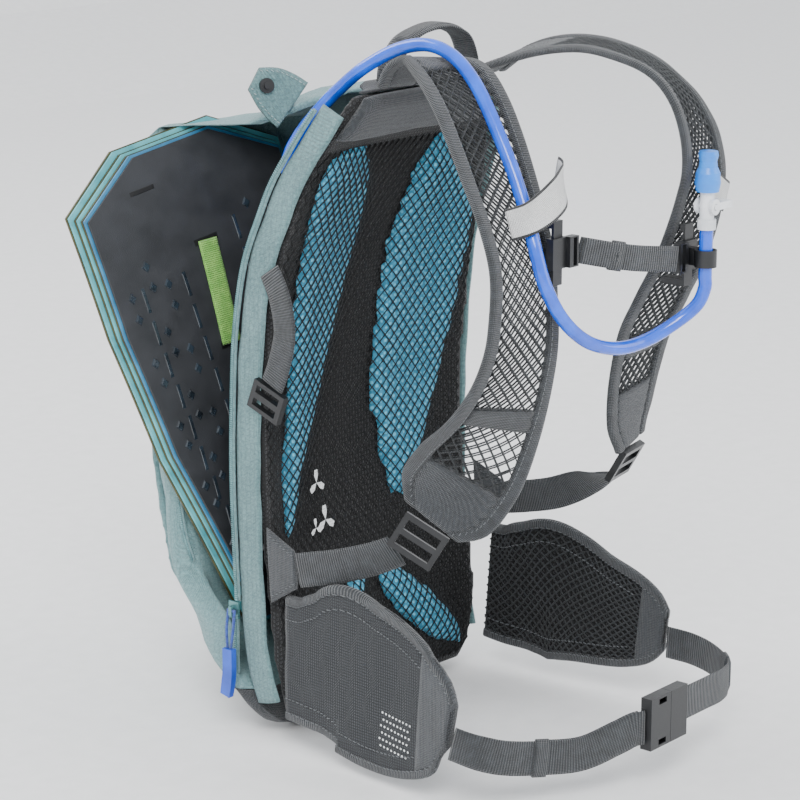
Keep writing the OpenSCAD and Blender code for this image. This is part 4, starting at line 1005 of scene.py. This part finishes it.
def wing_edges(name, track):
    """Bound edges with a stitch line on both faces, and a second line further in."""
    for side, span in ((-1, ((-1, 0), (-1, 0.008))), (1, ((1, -0.008), (1, 0)))):
        ribbon("%s_binding_%d" % (name, side > 0), track, "pack", BINDING, span=span, thick=0.0034, count=6, power=3)
        for lift in (-0.0034, 0.0034):
            bars("%s_stitch_%d_%d" % (name, side > 0, lift > 0), track, "pack", THREAD, side=(side, -side * 0.0066),
                 lift=lift)
            bars("%s_line_%d_%d" % (name, side > 0, lift > 0), track, "pack", THREAD, side=(side, -side * 0.0175),
                 lift=lift * 1.02, end=0.84)


def hip_wings():
    left = wing_track(WING)
    pad = ribbon("wing_left", left, "pack", WING_MESH, thick=0.0033, power=6, count=16, edge=0.3,
                 stands_for=("hip_wing_left",), wrinkle=0.0008)
    wing_edges("wing_left", left)
    ribbon("wing_left_tip", left, "pack", CHARCOAL, thick=0.0038, start=0.82, end=0.995, count=10)
    dots = []
    for row in range(6):
        for column in range(9 - row % 2):
            dots.append((-0.012 - 0.005 * row, 0.62 + 0.020 * column + 0.010 * (row % 2)))
    points = []
    faces = []
    for side, run in dots:
        base = len(points)
        points += [
            left.spot(side + 0.0009 * math.cos(k * math.pi / 4), left.length * run + 0.0009 * math.sin(k * math.pi / 4),
                      0.0036) for k in range(8)]
        faces.append(tuple(range(base, base + 8)))
    add("wing_left_holes", points, faces, "pack", HOLE_WHITE)
    right = wing_track(WING_FAR)
    pad = ribbon("wing_right", right, "pack", PANEL_MESH, thick=0.0016, power=6, count=12, edge=0.3,
                 stands_for=("hip_wing_right",))
    for layer, lift in (("inner", 0.0026), ("outer", -0.0026)):
        def spot(side, run, lift=lift):
            along = right.length * run
            _, _, _, half, _ = right.at(along)
            return right.spot(side * (half - 0.006), along, lift)

        lattice("wing_right_net_" + layer, spot, 26, 48, 0.0019, "pack", STRAP_NET)
    wing_edges("wing_right", right)
    ribbon("wing_right_tip", right, "pack", CHARCOAL, thick=0.0038, start=0.86, end=0.995, count=10)


BELT_Y = -286.8
BELT_L = [st(-130, -208.8, 49, (0, 0, 1), 25, 1.6), st(-124, -224, 45, (0, 0, 1), 25, 1.6),
          st(-108, -237, 39, (0, 0, 1), 25, 1.6), st(-84, -250, 35, (0, 0, 1), 25, 1.6),
          st(-58, -266, 34, (0, 0, 1), 25, 1.6), st(-36, -279.5, 42, (0, 0, 1), 25, 1.6),
          st(-24, -286, 46.6, (0, 0, 1), 25, 1.6), st(-16.2, -289.6, 47, (0, 0, 1), 25, 1.6)]
BELT_R = [st(12, BELT_Y, 49, (0, 0, 1), 25, 1.6), st(40, BELT_Y, 49, (0, 0, 1), 25, 1.6),
          st(66, BELT_Y, 49, (0, 0, 1), 25, 1.6), st(90, BELT_Y + 2, 48, (0, 0, 1), 25, 1.6),
          st(112, BELT_Y + 12, 47, (0, 0, 1), 25, 1.6), st(127, -252, 49, (0, 0, 1), 25, 1.6),
          st(132, -230, 51, (0, 0, 1), 25, 1.6), st(130.4, -208.7, 52, (0, 0, 1), 25, 1.6)]


def belt():
    left = Track(BELT_L)
    right = Track(BELT_R)
    ribbon("belt_left", left, "pack", WEBBING, stands_for=("belt_webbing_left",), step=0.003)
    ribbon("belt_right", right, "pack", WEBBING, stands_for=("belt_webbing_right",), step=0.003)
    ribbon("belt_left_fold", left, "pack", WEBBING, thick=0.0008, lift=-0.0018, start=0.45, end=0.97, step=0.003)
    keeper("belt_left_keeper", left, 0.45)
    keeper("belt_right_keeper", right, 0.62)


hip_wings()
belt()


# ---------------------------------------------------------------- floor and light
def studio():
    rings = []
    for x in (-6, 6):
        rings.append([Vector((x, y, z)) for y, z in ((-6, -0.0005), (2.5, -0.0005), (3.1, 0.1), (3.5, 0.45), (3.7, 1.0),
                                                      (3.8, 5))])
    points = rings[0] + rings[1]
    count = len(rings[0])
    faces = [(i, i + count, i + count + 1, i + 1) for i in range(count - 1)]
    mesh = bpy.data.meshes.new("floor")
    mesh.from_pydata([tuple(point) for point in points], [], faces)
    mesh.materials.append(moulded("floor", "f4f4f4", "efefef", rough=0.8, coat=0, grain=0.00001))
    item = bpy.data.objects.new("floor", mesh)
    bpy.context.scene.collection.objects.link(item)
    world = bpy.data.worlds.new("sky")
    world.use_nodes = True
    world.node_tree.nodes["Background"].inputs[0].default_value = (0.95, 0.97, 1, 1)
    world.node_tree.nodes["Background"].inputs[1].default_value = 1.35
    bpy.context.scene.world = world
    for name, place, power, size in (("key", (-2.0, -1.6, 2.4), 80, 1.4), ("fill", (1.6, -2.4, 1.4), 30, 2.0),
                                     ("rim", (-0.6, 2.2, 2.4), 45, 1.6)):
        data = bpy.data.lights.new(name, "AREA")
        data.energy = power
        data.size = size
        lamp = bpy.data.objects.new(name, data)
        lamp.location = place
        lamp.rotation_euler = (Vector(place) - Vector((0, 0, 0.25))).to_track_quat("Z", "Y").to_euler()
        bpy.context.scene.collection.objects.link(lamp)


studio()
